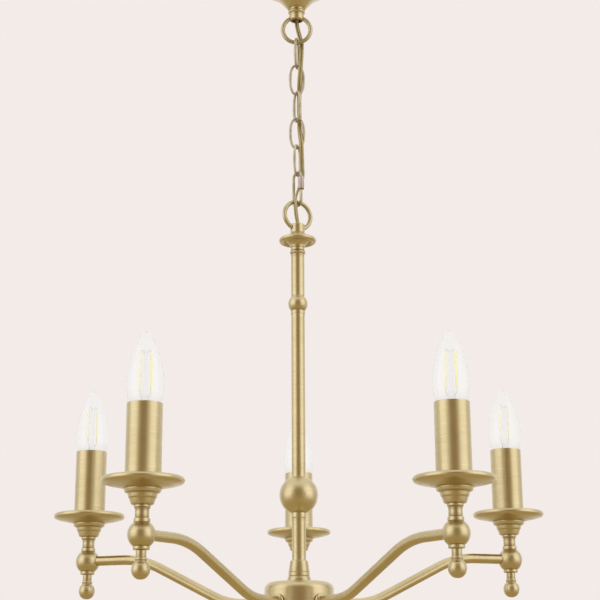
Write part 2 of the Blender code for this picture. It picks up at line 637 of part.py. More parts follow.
def lights(materials, parent, base):
    """Five arms, each with its knuckle, drip pan, candle tube, lamp holder, lamp and finial."""
    brass = materials["satin_brass"]
    arm = arm_mesh()
    knuckle = turned_mesh("knuckle", knuckle_outline(), 12)
    pan = turned_mesh("drip_pan", pan_outline(), 16)
    candle = turned_mesh("candle_tube", candle_outline(), 14)
    holder = turned_mesh("lamp_holder", holder_outline(), 10)
    bulb = turned_mesh("bulb", bulb_outline(), 12)
    finial = turned_mesh("arm_finial", finial_outline(), 10)
    socket = cylinder_mesh("arm_socket_tool", ARM_R + 0.6, -KNUCKLE_R - 1, -5.5, 8)
    socket.transform(Matrix.Rotation(math.radians(90), 4, "Y"))
    for number, azimuth in enumerate(arm_azimuths(), start=1):
        turn = math.radians(azimuth)
        out = Vector((math.cos(turn), math.sin(turn), 0)) * ARM_REACH
        at = Vector(base) + out
        place(f"arm_{number}", arm, brass, base, azimuth, parent)
        ball = place(f"knuckle_{number}", knuckle, brass, at, azimuth, parent)
        spot = at + Vector((0, 0, ARM_EXIT_Z))
        combine(ball, place("arm_socket_tool", socket, None, spot, azimuth, parent), "DIFFERENCE")
        place(f"drip_pan_{number}", pan, brass, at, azimuth, parent)
        place(f"candle_tube_{number}", candle, brass, at, azimuth, parent)
        place(f"lamp_holder_{number}", holder, materials["holder_plastic"], at, azimuth, parent)
        place(f"arm_finial_{number}", finial, brass, at, azimuth, parent)
        place(f"bulb_{number}", bulb, materials["clear_glass"], at, azimuth, parent)


# ---- the fixture --------------------------------------------------------------------------------------


def main():
    clear_scene()
    materials = make_materials()
    ceiling_bracket(materials)
    ceiling_rose(materials)
    rose_loop(materials)
    heights = hanging_pieces(materials)
    quick_link_nut(materials)
    flex_cable(materials)
    swing_z = heights["lower_ring"][1] + RING[2] / 2
    column = pivot("column_pivot", (0, 0, ceiling_height(swing_z)))
    base = (0, 0, -swing_z)
    loop_cap(materials, column, base)
    column_pieces(materials, column, base)
    hub(materials, column, base)
    lights(materials, column, base)


main()
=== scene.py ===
"""Looks of the five-light satin brass chandelier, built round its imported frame.

The world is the frame's: metres, +Z up, ceiling at the origin. Sizes below are in millimetres and pass
through MM once, where a mesh is made. Heights count from the plane of the drip pans' rims, as in the part.
"""
import json
import math

import bmesh
import bpy
from mathutils import Matrix, Vector
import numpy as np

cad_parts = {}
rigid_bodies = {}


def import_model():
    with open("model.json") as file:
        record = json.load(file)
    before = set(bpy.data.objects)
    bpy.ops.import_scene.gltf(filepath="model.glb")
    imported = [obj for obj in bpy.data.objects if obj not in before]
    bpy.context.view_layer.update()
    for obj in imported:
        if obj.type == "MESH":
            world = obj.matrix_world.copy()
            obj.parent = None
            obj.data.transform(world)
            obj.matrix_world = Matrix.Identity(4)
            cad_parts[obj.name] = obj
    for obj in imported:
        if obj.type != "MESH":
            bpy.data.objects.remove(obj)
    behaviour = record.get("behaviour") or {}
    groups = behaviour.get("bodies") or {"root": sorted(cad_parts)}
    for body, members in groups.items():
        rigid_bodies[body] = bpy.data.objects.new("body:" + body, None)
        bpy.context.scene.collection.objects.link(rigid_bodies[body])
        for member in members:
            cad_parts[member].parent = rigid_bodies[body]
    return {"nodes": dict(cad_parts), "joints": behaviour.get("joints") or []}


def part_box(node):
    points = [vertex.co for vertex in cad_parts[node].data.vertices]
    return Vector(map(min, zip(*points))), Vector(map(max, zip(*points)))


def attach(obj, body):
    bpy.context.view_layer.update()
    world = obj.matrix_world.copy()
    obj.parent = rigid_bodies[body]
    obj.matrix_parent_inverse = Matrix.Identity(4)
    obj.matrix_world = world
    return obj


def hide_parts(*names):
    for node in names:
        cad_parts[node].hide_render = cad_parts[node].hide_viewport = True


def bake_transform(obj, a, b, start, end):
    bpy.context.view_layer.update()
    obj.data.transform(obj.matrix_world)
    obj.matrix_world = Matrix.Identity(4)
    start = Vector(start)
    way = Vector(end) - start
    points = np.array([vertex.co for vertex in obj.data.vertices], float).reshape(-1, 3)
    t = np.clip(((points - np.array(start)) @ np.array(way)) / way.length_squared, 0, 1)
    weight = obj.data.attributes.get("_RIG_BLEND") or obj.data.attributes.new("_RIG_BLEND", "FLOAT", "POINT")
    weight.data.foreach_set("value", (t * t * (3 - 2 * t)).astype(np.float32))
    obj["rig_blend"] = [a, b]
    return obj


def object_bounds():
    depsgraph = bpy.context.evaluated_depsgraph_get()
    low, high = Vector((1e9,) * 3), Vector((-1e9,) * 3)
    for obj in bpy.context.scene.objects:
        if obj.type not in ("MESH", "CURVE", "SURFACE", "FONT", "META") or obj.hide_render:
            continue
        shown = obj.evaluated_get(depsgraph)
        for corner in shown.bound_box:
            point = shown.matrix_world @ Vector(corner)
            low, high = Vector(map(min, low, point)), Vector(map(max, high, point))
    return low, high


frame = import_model()
CAD_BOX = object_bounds()

MM = 0.001
PAN_RISE = 2.2                     # top of a pan's rim over the plane that heights count from
RIM_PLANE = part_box("drip_pan_1")[1].z / MM - PAN_RISE
AXIS = Vector((0, 0, RIM_PLANE))   # the column's axis at that plane
LIGHTS = range(1, 6)
LINKS = [f"chain_link_{i}" for i in range(1, 6)]

SHARP_DEG = 50                     # edges sharper than this stay crisp
WEAR_SPREAD = 1.3                  # how far an edge's rub or a groove's patina reaches

# Camera: in front of the fixture and under it, tilted up, with a long lens on a 36 mm sensor
CAMERA_AT = (0.0, -1402.0, -758.7)
CAMERA_PITCH_DEG, CAMERA_YAW_DEG, CAMERA_ROLL_DEG = 15.65, -0.09, -0.28
CAMERA_LENS = 84.0


# ---- outlines ----


def arc(centre, radius, start_deg, end_deg, steps=24):
    """Points along an arc in a plane, both ends included."""
    points = []
    for i in range(steps + 1):
        angle = math.radians(start_deg + (end_deg - start_deg) * i / steps)
        points.append((centre[0] + radius * math.cos(angle), centre[1] + radius * math.sin(angle)))
    return points


def curve_through(points, steps=10):
    """Points on a Catmull-Rom curve through the given ones."""
    knots = [Vector(point) for point in points]
    ends = [knots[0] * 2 - knots[1], *knots, knots[-1] * 2 - knots[-2]]
    line = []
    for before, start, end, after in zip(ends, ends[1:], ends[2:], ends[3:]):
        for i in range(steps):
            t = i / steps
            pull = (end - before) * t + (before * 2 - start * 5 + end * 4 - after) * t ** 2
            pull += (start * 3 - before - end * 3 + after) * t ** 3
            line.append(start + pull / 2)
    line.append(knots[-1])
    return line


def pairs(points):
    return [(point[0], point[1]) for point in points]


def eased(outline, closed, default=0.25):
    """The outline with its corners rounded. A point may carry its own radius as a third number."""
    result = []
    count = len(outline)
    for i, corner in enumerate(outline):
        radius = corner[2] if len(corner) > 2 else default
        here = Vector(corner[:2])
        if (not closed and i in (0, count - 1)) or radius <= 0:
            result.append(here)
            continue
        back = Vector(outline[i - 1][:2]) - here
        on = Vector(outline[(i + 1) % count][:2]) - here
        if back.length < 1e-6 or on.length < 1e-6:
            continue
        opening = back.angle(on)
        if opening > math.radians(168):
            result.append(here)
            continue
        reach = min(radius / math.tan(opening / 2), back.length * 0.45, on.length * 0.45)
        first, last = here + back.normalized() * reach, here + on.normalized() * reach
        steps = max(2, math.ceil((math.pi - opening) / math.radians(20)))
        for k in range(steps + 1):
            t = k / steps
            result.append(first * (1 - t) ** 2 + here * 2 * t * (1 - t) + last * t ** 2)
    return result


def supported(outline, closed, near=0.35, step=6.0):
    """Extra points beside each corner and along long runs, so that shading stays flat between them."""
    result = []
    stretches = list(zip(outline, outline[1:] + outline[:1]))
    if not closed:
        stretches.pop()
    for start, end in stretches:
        length = (end - start).length
        result.append(start)
        if length > 3 * near:
            inner = length - 2 * near
            parts = max(1, math.ceil(inner / step))
            for k in range(parts + 1):
                result.append(start.lerp(end, (near + inner * k / parts) / length))
    if not closed:
        result.append(outline[-1])
    return result


def edge_wear(outline, closed):
    """For each point of an outline, how far it stands out of the outline smoothed over a few
    millimetres: above 0 on edges that get rubbed, below 0 in grooves that keep their patina."""
    count = len(outline)
    wear_and_shade = []
    for i, here in enumerate(outline):
        total, weight_sum = Vector((0, 0)), 0.0
        for way in (1, -1):
            travelled, k, previous = 0.0, i, here
            while travelled < WEAR_SPREAD * 2.5:
                k += way
                if not closed and not 0 <= k < count:
                    break
                point = outline[k % count]
                travelled += (point - previous).length
                weight = math.exp(-(travelled / WEAR_SPREAD) ** 2) * ((point - previous).length + 0.05)
                total += point * weight
                weight_sum += weight
                previous = point
                if k % count == i:
                    break
        before = outline[(i - 1) % count] if closed or i else here
        after = outline[(i + 1) % count] if closed or i < count - 1 else here
        along = after - before
        if weight_sum == 0 or along.length < 1e-9:
            wear_and_shade.append(0.0)
            continue
        out = Vector((along.y, -along.x)).normalized()
        wear_and_shade.append(max(-1.0, min(1.0, (here - total / weight_sum).dot(out) / 0.45)))
    return wear_and_shade


def area_sign(outline):
    """1 where the outline runs counter-clockwise with radius to the right and height up, else -1."""
    doubled = sum(a.x * b.y - b.x * a.y for a, b in zip(outline, outline[1:] + outline[:1]))
    return 1 if doubled > 0 else -1


# ---- meshes ----


def skin(bm, rows, closed):
    """Faces between neighbouring rows of vertices. A row of one vertex is a pole."""
    count = max(len(row) for row in rows)
    following_rows = rows[1:] + rows[:1] if closed else rows[1:]
    for row, following in zip(rows, following_rows):
        for i in range(count):
            corners = [row[i % len(row)], row[(i + 1) % len(row)]]
            corners += [following[(i + 1) % len(following)], following[i % len(following)]]
            distinct = list(dict.fromkeys(corners))
            if len(distinct) > 2:
                bm.faces.new(distinct)


def finished(name, bm, sharp_deg=SHARP_DEG):
    bmesh.ops.recalc_face_normals(bm, faces=bm.faces)
    mesh = bpy.data.meshes.new(name)
    bm.to_mesh(mesh)
    bm.free()
    mesh.shade_smooth()
    mesh.set_sharp_from_angle(angle=math.radians(sharp_deg))
    obj = bpy.data.objects.new(name, mesh)
    bpy.context.scene.collection.objects.link(obj)
    return obj


def store(obj, grain, wear_and_shade):
    """Point attributes that the materials read: grain in millimetres, x across the brush lines, and wear; on
    the flex, painted shade in the crease between its two cores.
    """
    attributes = obj.data.attributes
    vectors = attributes.new("grain", "FLOAT_VECTOR", "POINT")
    vectors.data.foreach_set("vector", [value for triple in grain for value in triple])
    numbers = attributes.new("wear_and_shade", "FLOAT", "POINT")
    numbers.data.foreach_set("value", wear_and_shade)


def mark_turned(obj, outline, closed):
    """Grain and wear of a turned piece, read from the nearest point of its outline."""
    sign = area_sign(outline)
    wear_and_shade = [value * sign for value in edge_wear(outline, closed)]
    travel = [0.0]
    for a, b in zip(outline, outline[1:]):
        travel.append(travel[-1] + (b - a).length)
    found = {}
    grain, wear_and_shade_values = [], []
    for vertex in obj.data.vertices:
        radius, height = math.hypot(vertex.co.x, vertex.co.y) / MM, vertex.co.z / MM
        key = (round(radius, 3), round(height, 3))
        if key not in found:
            spot = Vector((radius, height))
            found[key] = min(range(len(outline)), key=lambda k: (outline[k] - spot).length_squared)
        k = found[key]
        turn = math.atan2(vertex.co.y, vertex.co.x)
        grain.append((travel[k], 8 * math.cos(turn), 8 * math.sin(turn)))
        wear_and_shade_values.append(wear_and_shade[k])
    store(obj, grain, wear_and_shade_values)


def turned_rows(bm, outline, segments, reach=lambda radius, turn: radius):
    """A ring of vertices for each (radius, height), or one vertex where the radius is 0. reach gives
    the distance from the axis at each turn where that isn't the radius."""
    rows = []
    for radius, height in outline:
        row = []
        for i in range(segments if radius > 1e-6 else 1):
            turn = 2 * math.pi * i / segments
            out = reach(radius, turn)
            spot = (out * math.cos(turn), out * math.sin(turn), height)
            row.append(bm.verts.new(Vector(spot) * MM))
        rows.append(row)
    return rows


def turned(name, outline, closed=True, segments=72, holes=()):
    """An outline of (radius, height) spun about Z, with eased corners and the holes' shapes taken out.
    An open outline starts and ends on the axis."""
    points = supported(eased(outline, closed), closed)
    bm = bmesh.new()
    skin(bm, turned_rows(bm, points, segments), closed)
    obj = finished(name, bm)
    if holes:
        cut(obj, holes)
    mark_turned(obj, points, closed)
    return obj


def cut(obj, tools):
    """Takes the tools out of a piece, and removes them."""
    for tool in tools:
        modifier = obj.modifiers.new("cut", "BOOLEAN")
        modifier.operation = "DIFFERENCE"
        modifier.solver = "EXACT"
        modifier.object = tool
    bpy.context.view_layer.update()
    evaluated = obj.evaluated_get(bpy.context.evaluated_depsgraph_get())
    mesh = bpy.data.meshes.new_from_object(evaluated)
    obj.modifiers.clear()
    obj.data = mesh
    for attribute in ("grain", "wear_and_shade"):
        if attribute in mesh.attributes:
            mesh.attributes.remove(mesh.attributes[attribute])
    mesh.shade_smooth()
    mesh.set_sharp_from_angle(angle=math.radians(SHARP_DEG))
    for tool in tools:
        bpy.data.objects.remove(tool, do_unlink=True)


def circle_section(radius, sides):
    return [(radius * math.cos(2 * math.pi * k / sides), radius * math.sin(2 * math.pi * k / sides))
            for k in range(sides)]


def headings(line, closed):
    last = len(line) - 1
    result = []
    for i in range(len(line)):
        before = line[i - 1] if closed else line[max(i - 1, 0)]
        after = line[(i + 1) % len(line)] if closed else line[min(i + 1, last)]
        result.append((after - before).normalized())
    return result


def swept(name, line, section, side, closed=False, scales=None, turns=None, wear_and_shade=None):
    """A section swept along a line of points. side is the direction that the section's x keeps to;
    scales and turns change the section along the line."""
    bm = bmesh.new()
    rows, grain, wear_and_shade_values = [], [], []
    travelled = 0.0
    for i, (spot, heading) in enumerate(zip(line, headings(line, closed))):
        if i:
            travelled += (spot - line[i - 1]).length
        across = (side - heading * side.dot(heading)).normalized()
        up = heading.cross(across)
        if turns:
            across, up = (across * math.cos(turns[i]) + up * math.sin(turns[i]),
                          up * math.cos(turns[i]) - across * math.sin(turns[i]))
        size = scales[i] if scales else 1.0
        row = []
        for x, y in section:
            row.append(bm.verts.new((spot + (across * x + up * y) * size) * MM))
            grain.append((travelled, x * 2, y * 2))
            wear_and_shade_values.append(wear_and_shade[i] if wear_and_shade else 0.0)
        rows.append(row)
    skin(bm, rows, closed)
    if not closed:
        bm.faces.new(rows[0])
        bm.faces.new(rows[-1])
    obj = finished(name, bm)
    store(obj, grain, wear_and_shade_values)
    return obj


def axis_of(node):
    """The upright axis of a turned node, as millimetres in the frame, at height 0 over the rim plane."""
    low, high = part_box(node)
    return Vector(((low.x + high.x) / 2 / MM, (low.y + high.y) / 2 / MM, RIM_PLANE))


def settle(obj, body, material, at=(0, 0, 0), turn_deg=0.0, replaces=()):
    """Puts a piece at its place in the frame, in millimetres, and makes it ride on its body."""
    obj.data.materials.clear()
    obj.data.materials.append(material)
    obj.location = Vector(at) * MM
    obj.rotation_euler = (0, 0, math.radians(turn_deg))
    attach(obj, body)
    if replaces:
        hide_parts(*replaces)
    return obj


# ---- materials ----


class Nodes:
    """Adds nodes to a material's or a world's tree, and links them."""

    def __init__(self, owner):
        owner.use_nodes = True
        self.owner = owner
        self.tree = owner.node_tree
        self.shader = self.tree.nodes.get("Principled BSDF")

    def add(self, kind, **settings):
        node = self.tree.nodes.new(kind)
        for key, value in settings.items():
            setattr(node, key, value)
        return node

    def link(self, out, into):
        self.tree.links.new(out, into)

    def feed(self, **sources):
        """Links into the shader's own sockets. Underscores stand for spaces."""
        for key, source in sources.items():
            self.link(source, self.shader.inputs[key.replace("_", " ")])

    def place(self):
        return self.add("ShaderNodeTexCoord").outputs["Object"]

    def grain(self):
        return self.add("ShaderNodeAttribute", attribute_name="grain").outputs["Vector"]

    def wear_and_shade(self):
        return self.add("ShaderNodeAttribute", attribute_name="wear_and_shade").outputs["Fac"]

    def split(self, vector):
        """The X, Y and Z of a vector."""
        parts = self.add("ShaderNodeSeparateXYZ")
        self.link(vector, parts.inputs["Vector"])
        return parts.outputs

    def noise(self, coordinates, stretch, detail=3.0):
        """Noise over the given coordinates, which are multiplied by stretch first."""
        mapping = self.add("ShaderNodeMapping")
        mapping.inputs["Scale"].default_value = stretch
        self.link(coordinates, mapping.inputs["Vector"])
        noise = self.add("ShaderNodeTexNoise")
        noise.inputs["Scale"].default_value = 1.0
        noise.inputs["Detail"].default_value = detail
        self.link(mapping.outputs["Vector"], noise.inputs["Vector"])
        return noise.outputs["Fac"]

    def put(self, socket, value):
        """Fills a socket with a number, a colour or a link."""
        if isinstance(value, (int, float)):
            socket.default_value = value
        elif isinstance(value, tuple):
            socket.default_value = (*value, 1.0)
        else:
            self.link(value, socket)

    def ranged(self, value, from_low, from_high, to_low, to_high):
        node = self.add("ShaderNodeMapRange")
        for socket, filling in zip(node.inputs, (value, from_low, from_high, to_low, to_high)):
            self.put(socket, filling)
        return node.outputs["Result"]

    def maths(self, operation, first, second):
        node = self.add("ShaderNodeMath", operation=operation)
        self.put(node.inputs[0], first)
        self.put(node.inputs[1], second)
        return node.outputs["Value"]

    def mixed(self, factor, first, second):
        """A colour between first and second."""
        node = self.add("ShaderNodeMix", data_type="RGBA")
        self.put(node.inputs["Factor"], factor)
        self.put(node.inputs[6], first)
        self.put(node.inputs[7], second)
        return node.outputs[2]

    def bump(self, height, strength, distance):
        node = self.add("ShaderNodeBump")
        node.inputs["Strength"].default_value = strength
        node.inputs["Distance"].default_value = distance
        self.link(height, node.inputs["Height"])
        self.link(node.outputs["Normal"], self.shader.inputs["Normal"])

    def set(self, **values):
        """Constant values on the shader's own sockets. Underscores stand for spaces."""
        for key, value in values.items():
            self.shader.inputs[key.replace("_", " ")].default_value = value


def brass(name, anisotropic, polish=0.0):
    """Lacquered satin brass: fine brush lines round the piece, cloudy tone, dark in the grooves."""
    n = Nodes(bpy.data.materials.new(name))
    grain = n.grain()
    wear_and_shade = n.wear_and_shade()
    place = n.place()
    fine = n.noise(grain, (3.2, 0.10, 0.10), 2.0)
    streak = n.noise(grain, (0.55, 0.05, 0.05), 3.0)
    cloud = n.noise(place, (38.0, 38.0, 38.0), 2.0)
    tone = n.mixed(n.ranged(cloud, 0.3, 0.7, 0.0, 1.0), BRASS_DEEP, BRASS_PALE)
    tone = n.mixed(n.ranged(streak, 0.35, 0.7, 0.0, 0.32), tone, BRASS_STREAK)
    tone = n.mixed(n.ranged(wear_and_shade, -0.12, -0.9, 0.0, 0.62), tone, BRASS_PATINA)
    tone = n.mixed(n.ranged(wear_and_shade, 0.25, 1.0, 0.0, 0.35), tone, BRASS_RUBBED)
    rough = n.ranged(streak, 0.3, 0.7, 0.27 + polish, 0.35 + polish)
    rough = n.maths("ADD", rough, n.ranged(fine, 0.3, 0.7, -0.03, 0.03))
    rough = n.maths("ADD", rough, n.ranged(wear_and_shade, -0.9, 0.0, 0.14, 0.0))
    n.feed(Base_Color=tone, Roughness=rough)
    n.bump(fine, 0.10, 0.02 * MM)
    n.set(Metallic=1.0, Coat_Weight=0.35, Coat_Roughness=0.28, Coat_IOR=1.5)
    if anisotropic:
        n.set(Anisotropic=anisotropic, Anisotropic_Rotation=0.25)
        tangent = n.add("ShaderNodeTangent", direction_type="RADIAL", axis="Z")
        n.feed(Tangent=tangent.outputs["Tangent"])
    return n.owner


def wire_brass(name, pale, deep, dark):
    """Antiqued wire: drawn lines along the wire, dark blotches and rubbed high spots."""
    n = Nodes(bpy.data.materials.new(name))
    grain = n.grain()
    wear_and_shade = n.wear_and_shade()
    place = n.place()
    drawn = n.noise(grain, (0.10, 1.1, 1.1), 2.0)
    blotch = n.noise(place, (110.0, 110.0, 110.0), 3.0)
    tone = n.mixed(n.ranged(blotch, 0.38, 0.66, 0.0, 1.0), deep, pale)
    tone = n.mixed(n.ranged(drawn, 0.5, 0.75, 0.0, 0.25), tone, dark)
    tone = n.mixed(n.ranged(wear_and_shade, -0.1, -1.0, 0.0, 0.85), tone, dark)
    n.feed(Base_Color=tone, Roughness=n.ranged(blotch, 0.3, 0.7, 0.44, 0.34))
    n.bump(drawn, 0.12, 0.03 * MM)
    n.set(Metallic=1.0, Coat_Weight=0.2, Coat_Roughness=0.3)
    return n.owner


def zinc_steel():
    n = Nodes(bpy.data.materials.new("strap_zinc"))
    place = n.place()
    spangle = n.add("ShaderNodeTexVoronoi", feature="F1")
    spangle.inputs["Scale"].default_value = 420.0
    n.link(place, spangle.inputs["Vector"])
    flow = n.noise(place, (60.0, 60.0, 60.0), 3.0)
    patches = n.maths("MULTIPLY", spangle.outputs["Distance"], 0.8)
    tone = n.mixed(n.ranged(patches, 0.0, 0.6, 0.0, 1.0), (0.42, 0.43, 0.44), (0.58, 0.58, 0.57))
    tone = n.mixed(n.ranged(flow, 0.4, 0.7, 0.0, 0.4), tone, (0.50, 0.49, 0.44))
    n.feed(Base_Color=tone, Roughness=n.ranged(flow, 0.3, 0.7, 0.34, 0.5))
    n.bump(patches, 0.15, 0.05 * MM)
    n.set(Metallic=1.0)
    return n.owner


def gold_flex():
    """Gold-tinted clear insulation with the twisted copper strands showing through, and painted shade in the
    crease between the two cores.
    """
    n = Nodes(bpy.data.materials.new("flex_insulation"))
    grain = n.grain()
    strands = n.add("ShaderNodeTexWave", wave_type="BANDS", bands_direction="DIAGONAL")
    strands.inputs["Scale"].default_value = 0.55
    strands.inputs["Distortion"].default_value = 0.6
    n.link(grain, strands.inputs["Vector"])
    drift = n.noise(grain, (0.05, 0.3, 0.3), 2.0)
    tone = n.mixed(strands.outputs["Fac"], FLEX_DEEP, FLEX_PALE)
    tone = n.mixed(n.ranged(drift, 0.35, 0.7, 0.0, 0.35), tone, FLEX_OLIVE)
    # Painted shade darkens the crease between the two cores
    tone = n.mixed(n.ranged(n.wear_and_shade(), 0.0, -1.0, 0.0, 0.75), tone, FLEX_CREASE_SHADE)
    n.feed(Base_Color=tone, Roughness=n.ranged(drift, 0.3, 0.7, 0.24, 0.34))
    n.bump(strands.outputs["Fac"], 0.05, 0.03 * MM)
    n.set(Metallic=0.55, Coat_Weight=0.6, Coat_Roughness=0.12, IOR=1.53)
    return n.owner


def clear_glass(name, tint, roughness_high, glow):
    """Clear glass with a faint bluish-white painted glow that stands in for the light a photographer's tent
    leaves on it.
    The painted glow grows over the first millimetres above the candle tube."""
    n = Nodes(bpy.data.materials.new(name))
    place = n.place()
    painted_glow = n.ranged(n.split(place)["Z"], 66 * MM, 78 * MM, glow * 0.4, glow)
    ripple = n.noise(place, (45.0, 45.0, 22.0), 1.0)
    # Painted glow: the unlit glass emits a little bluish-white light
    n.feed(Emission_Strength=painted_glow, Roughness=n.ranged(ripple, 0.3, 0.7, 0.0, roughness_high))
    n.bump(ripple, 0.05, 0.2 * MM)
    n.set(Base_Color=(*tint, 1.0), Transmission_Weight=1.0, IOR=1.36, Emission_Color=(0.75, 0.94, 1.0, 1.0))
    n.set(Sheen_Weight=0.25, Sheen_Roughness=0.35, Sheen_Tint=(0.94, 0.98, 1.0, 1.0))
    return n.owner


def plastic(name, colour, second, roughness):
    n = Nodes(bpy.data.materials.new(name))
    place = n.place()
    grain = n.noise(place, (900.0, 900.0, 900.0), 2.0)
    haze = n.noise(place, (40.0, 40.0, 40.0), 3.0)
    tone = n.mixed(n.ranged(haze, 0.35, 0.7, 0.0, 1.0), colour, second)
    n.feed(Base_Color=tone, Roughness=n.ranged(haze, 0.3, 0.7, roughness, roughness + 0.12))
    n.bump(grain, 0.15, 0.02 * MM)
    return n.owner


def phosphor(name, deep, pale):
    """Yellow phosphor over a row of tiny chips, with a faint painted glow, though the lamp is off."""
    n = Nodes(bpy.data.materials.new(name))
    grain = n.grain()
    chips = n.add("ShaderNodeTexWave", wave_type="BANDS", bands_direction="X", wave_profile="SIN")
    chips.inputs["Scale"].default_value = 0.33
    n.link(grain, chips.inputs["Vector"])
    tone = n.mixed(n.ranged(chips.outputs["Fac"], 0.2, 0.8, 0.0, 1.0), deep, pale)
    rough = n.ranged(chips.outputs["Fac"], 0.0, 1.0, 0.5, 0.6)
    n.feed(Base_Color=tone, Emission_Color=tone, Roughness=rough)
    n.bump(chips.outputs["Fac"], 0.2, 0.1 * MM)
    # Painted glow on an unlit filament
    n.set(Emission_Strength=0.3)
    return n.owner


BRASS_DEEP, BRASS_PALE = (0.62, 0.515, 0.295), (0.69, 0.582, 0.35)
BRASS_STREAK, BRASS_PATINA, BRASS_RUBBED = (0.555, 0.45, 0.245), (0.26, 0.19, 0.10), (0.80, 0.71, 0.48)
FLEX_DEEP, FLEX_PALE = (0.45, 0.355, 0.155), (0.52, 0.425, 0.20)
# The second colour here is painted shade for the crease between the flex's two cores
FLEX_OLIVE, FLEX_CREASE_SHADE = (0.42, 0.37, 0.19), (0.17, 0.125, 0.05)

TURNED_BRASS = brass("satin_brass_turned", 0.45)
BENT_BRASS = brass("satin_brass_bent", 0.0, -0.05)
CHAIN_BRASS = wire_brass("aged_brass_chain", (0.64, 0.58, 0.45), (0.53, 0.47, 0.35), (0.25, 0.21, 0.15))
RING_BRASS = wire_brass("aged_brass_ring", (0.66, 0.58, 0.38), (0.56, 0.48, 0.30), (0.27, 0.22, 0.13))
NUT_METAL = wire_brass("aged_nickel_nut", (0.52, 0.44, 0.38), (0.44, 0.36, 0.31), (0.20, 0.16, 0.13))
ZINC = zinc_steel()
FLEX = gold_flex()
# The last number is the strength of the glass's painted glow
BULB_GLASS = clear_glass("lamp_glass", (0.945, 0.95, 0.95), 0.012, 0.032)
STEM_GLASS = clear_glass("stem_glass", (0.95, 0.955, 0.96), 0.06, 0.015)
HOLDER = plastic("holder_black", (0.035, 0.034, 0.033), (0.05, 0.048, 0.045), 0.38)
TERMINAL = plastic("terminal_ivory", (0.80, 0.77, 0.68), (0.74, 0.71, 0.62), 0.4)
# One stick of each lamp gets a paler phosphor colour
PHOSPHOR = phosphor("filament_phosphor", (0.91, 0.86, 0.40), (0.94, 0.91, 0.54))
PHOSPHOR_PALE = phosphor("filament_phosphor_pale", (0.92, 0.88, 0.62), (0.95, 0.92, 0.72))
LEAD_WIRE = wire_brass("lead_wire", (0.80, 0.79, 0.78), (0.72, 0.71, 0.70), (0.5, 0.49, 0.48))
CAP_METAL = wire_brass("lamp_cap_nickel", (0.66, 0.64, 0.58), (0.54, 0.52, 0.47), (0.2, 0.19, 0.17))


def turned_brass(name, node, outline, at=AXIS, body="chandelier", **shape):
    """A turned brass piece that stands for a CAD node."""
    settle(turned(name, outline, **shape), body, TURNED_BRASS, at, 0, [node])


# ---- ceiling end ----


def ceiling_end():
    outer = curve_through([(9.9, 547.8), (11.2, 549.2), (13.3, 551.8), (16.4, 555.6), (19.8, 559.3),
                           (24.5, 563.5), (30.8, 568), (37.6, 572.6), (44.4, 577.2)], 6)
    inner = curve_through([(43.7, 578.9), (36.7, 574.2), (29.8, 569.6), (23.3, 565), (18.6, 560.6),
                           (15.2, 556.6), (12.2, 553)], 6)
    rim = -RIM_PLANE - 0.3
    outline = [(7.2, 547.3), (9.3, 547.3, 0.2)] + pairs(outer) + [(46, 578.4, 0.6), (46, rim)]
    outline += [(44.5, rim)] + pairs(inner) + [(10.2, 551), (7.2, 549.8)]
    turned_brass("ceiling_rose_dish", "ceiling_rose", outline, body="ceiling_mount", segments=128)

    outline = [(2.3, 547.4), (8.2, 547.4, 0.1), (7.9, 546.6, 0.3), (7.8, 545.3, 0.3)]
    outline += arc((7.6, 543.2), 1.7, 60, -60, 8)
    outline += [(8, 541.2, 0.3), (7.6, 534.3, 0.4), (7.1, 533.7, 0.2), (6.6, 533.9, 0.2), (6.3, 535)]
    outline += [(6.3, 541.2), (2.3, 541.2)]
    hole = ring_tool("upper_ring")
    turned_brass("rose_loop_collar", "rose_loop", outline, body="ceiling_mount", holes=[hole])
    for node in ("ceiling_bracket", "threaded_rod"):
        dress(node, ZINC)
    dress("hub_terminal", TERMINAL)


def dress(node, material):
    """A CAD node that stays, with a finish of its own."""
    obj = frame["nodes"][node]
    obj.data.materials.clear()
    obj.data.materials.append(material)


# ---- rings and chain ----

# Wire, and outer length and width
RING_WIRE, LINK_WIRE, QUICK_WIRE = 4.2, 2.6, 3.2
RING_SIZE, LINK_SIZE, QUICK_SIZE = (34.5, 34.5), (36.7, 17), (40.5, 16)
RING_TUNNEL_R = 3                  # radius of the bore that a ring's wire passes through
LINK_FULLNESS = 2.5                # superellipse power of a link's outline
QUICK_CORNER, QUICK_MOUTH = 5.2, (338, 346)    # corner radius, and the mouth's lower and upper end
# Each piece's turn about the vertical, and the angle round its loop where its wire is butted
YAWS = {"upper_ring": 0, "chain_link_1": 77, "chain_link_2": 6, "chain_link_3": 116, "chain_link_4": 1,
        "chain_link_5": 66, "quick_link": -52, "lower_ring": 27}
SEAMS = {"upper_ring": 92, "chain_link_1": 8, "chain_link_2": -20, "chain_link_3": 200,
         "chain_link_4": 165, "chain_link_5": 12, "lower_ring": -88}
SEAM_RADIUS, SEAM_HALF_WIDTH, SEAM_DIP = 12, 0.55, 0.16    # from the loop's middle; dip as a share


def centre_height(name):
    low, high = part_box(name)
    return (low.z + high.z) / 2 / MM - RIM_PLANE


def ring_line(height, radius, steps=96):
    return [Vector((x, 0, z)) for x, z in arc((0, height), radius, 0, 360, steps)[:-1]]


def ring_tool(name):
    """A fat ring that hollows out a collar where a ring's wire passes through it."""
    radius = (RING_SIZE[0] - RING_WIRE) / 2
    tool = swept(name + "_tool", ring_line(centre_height(name), radius), circle_section(RING_TUNNEL_R, 24),
                 Vector((0, 1, 0)), closed=True)
    tool.rotation_euler = (0, 0, math.radians(YAWS[name]))
    return tool


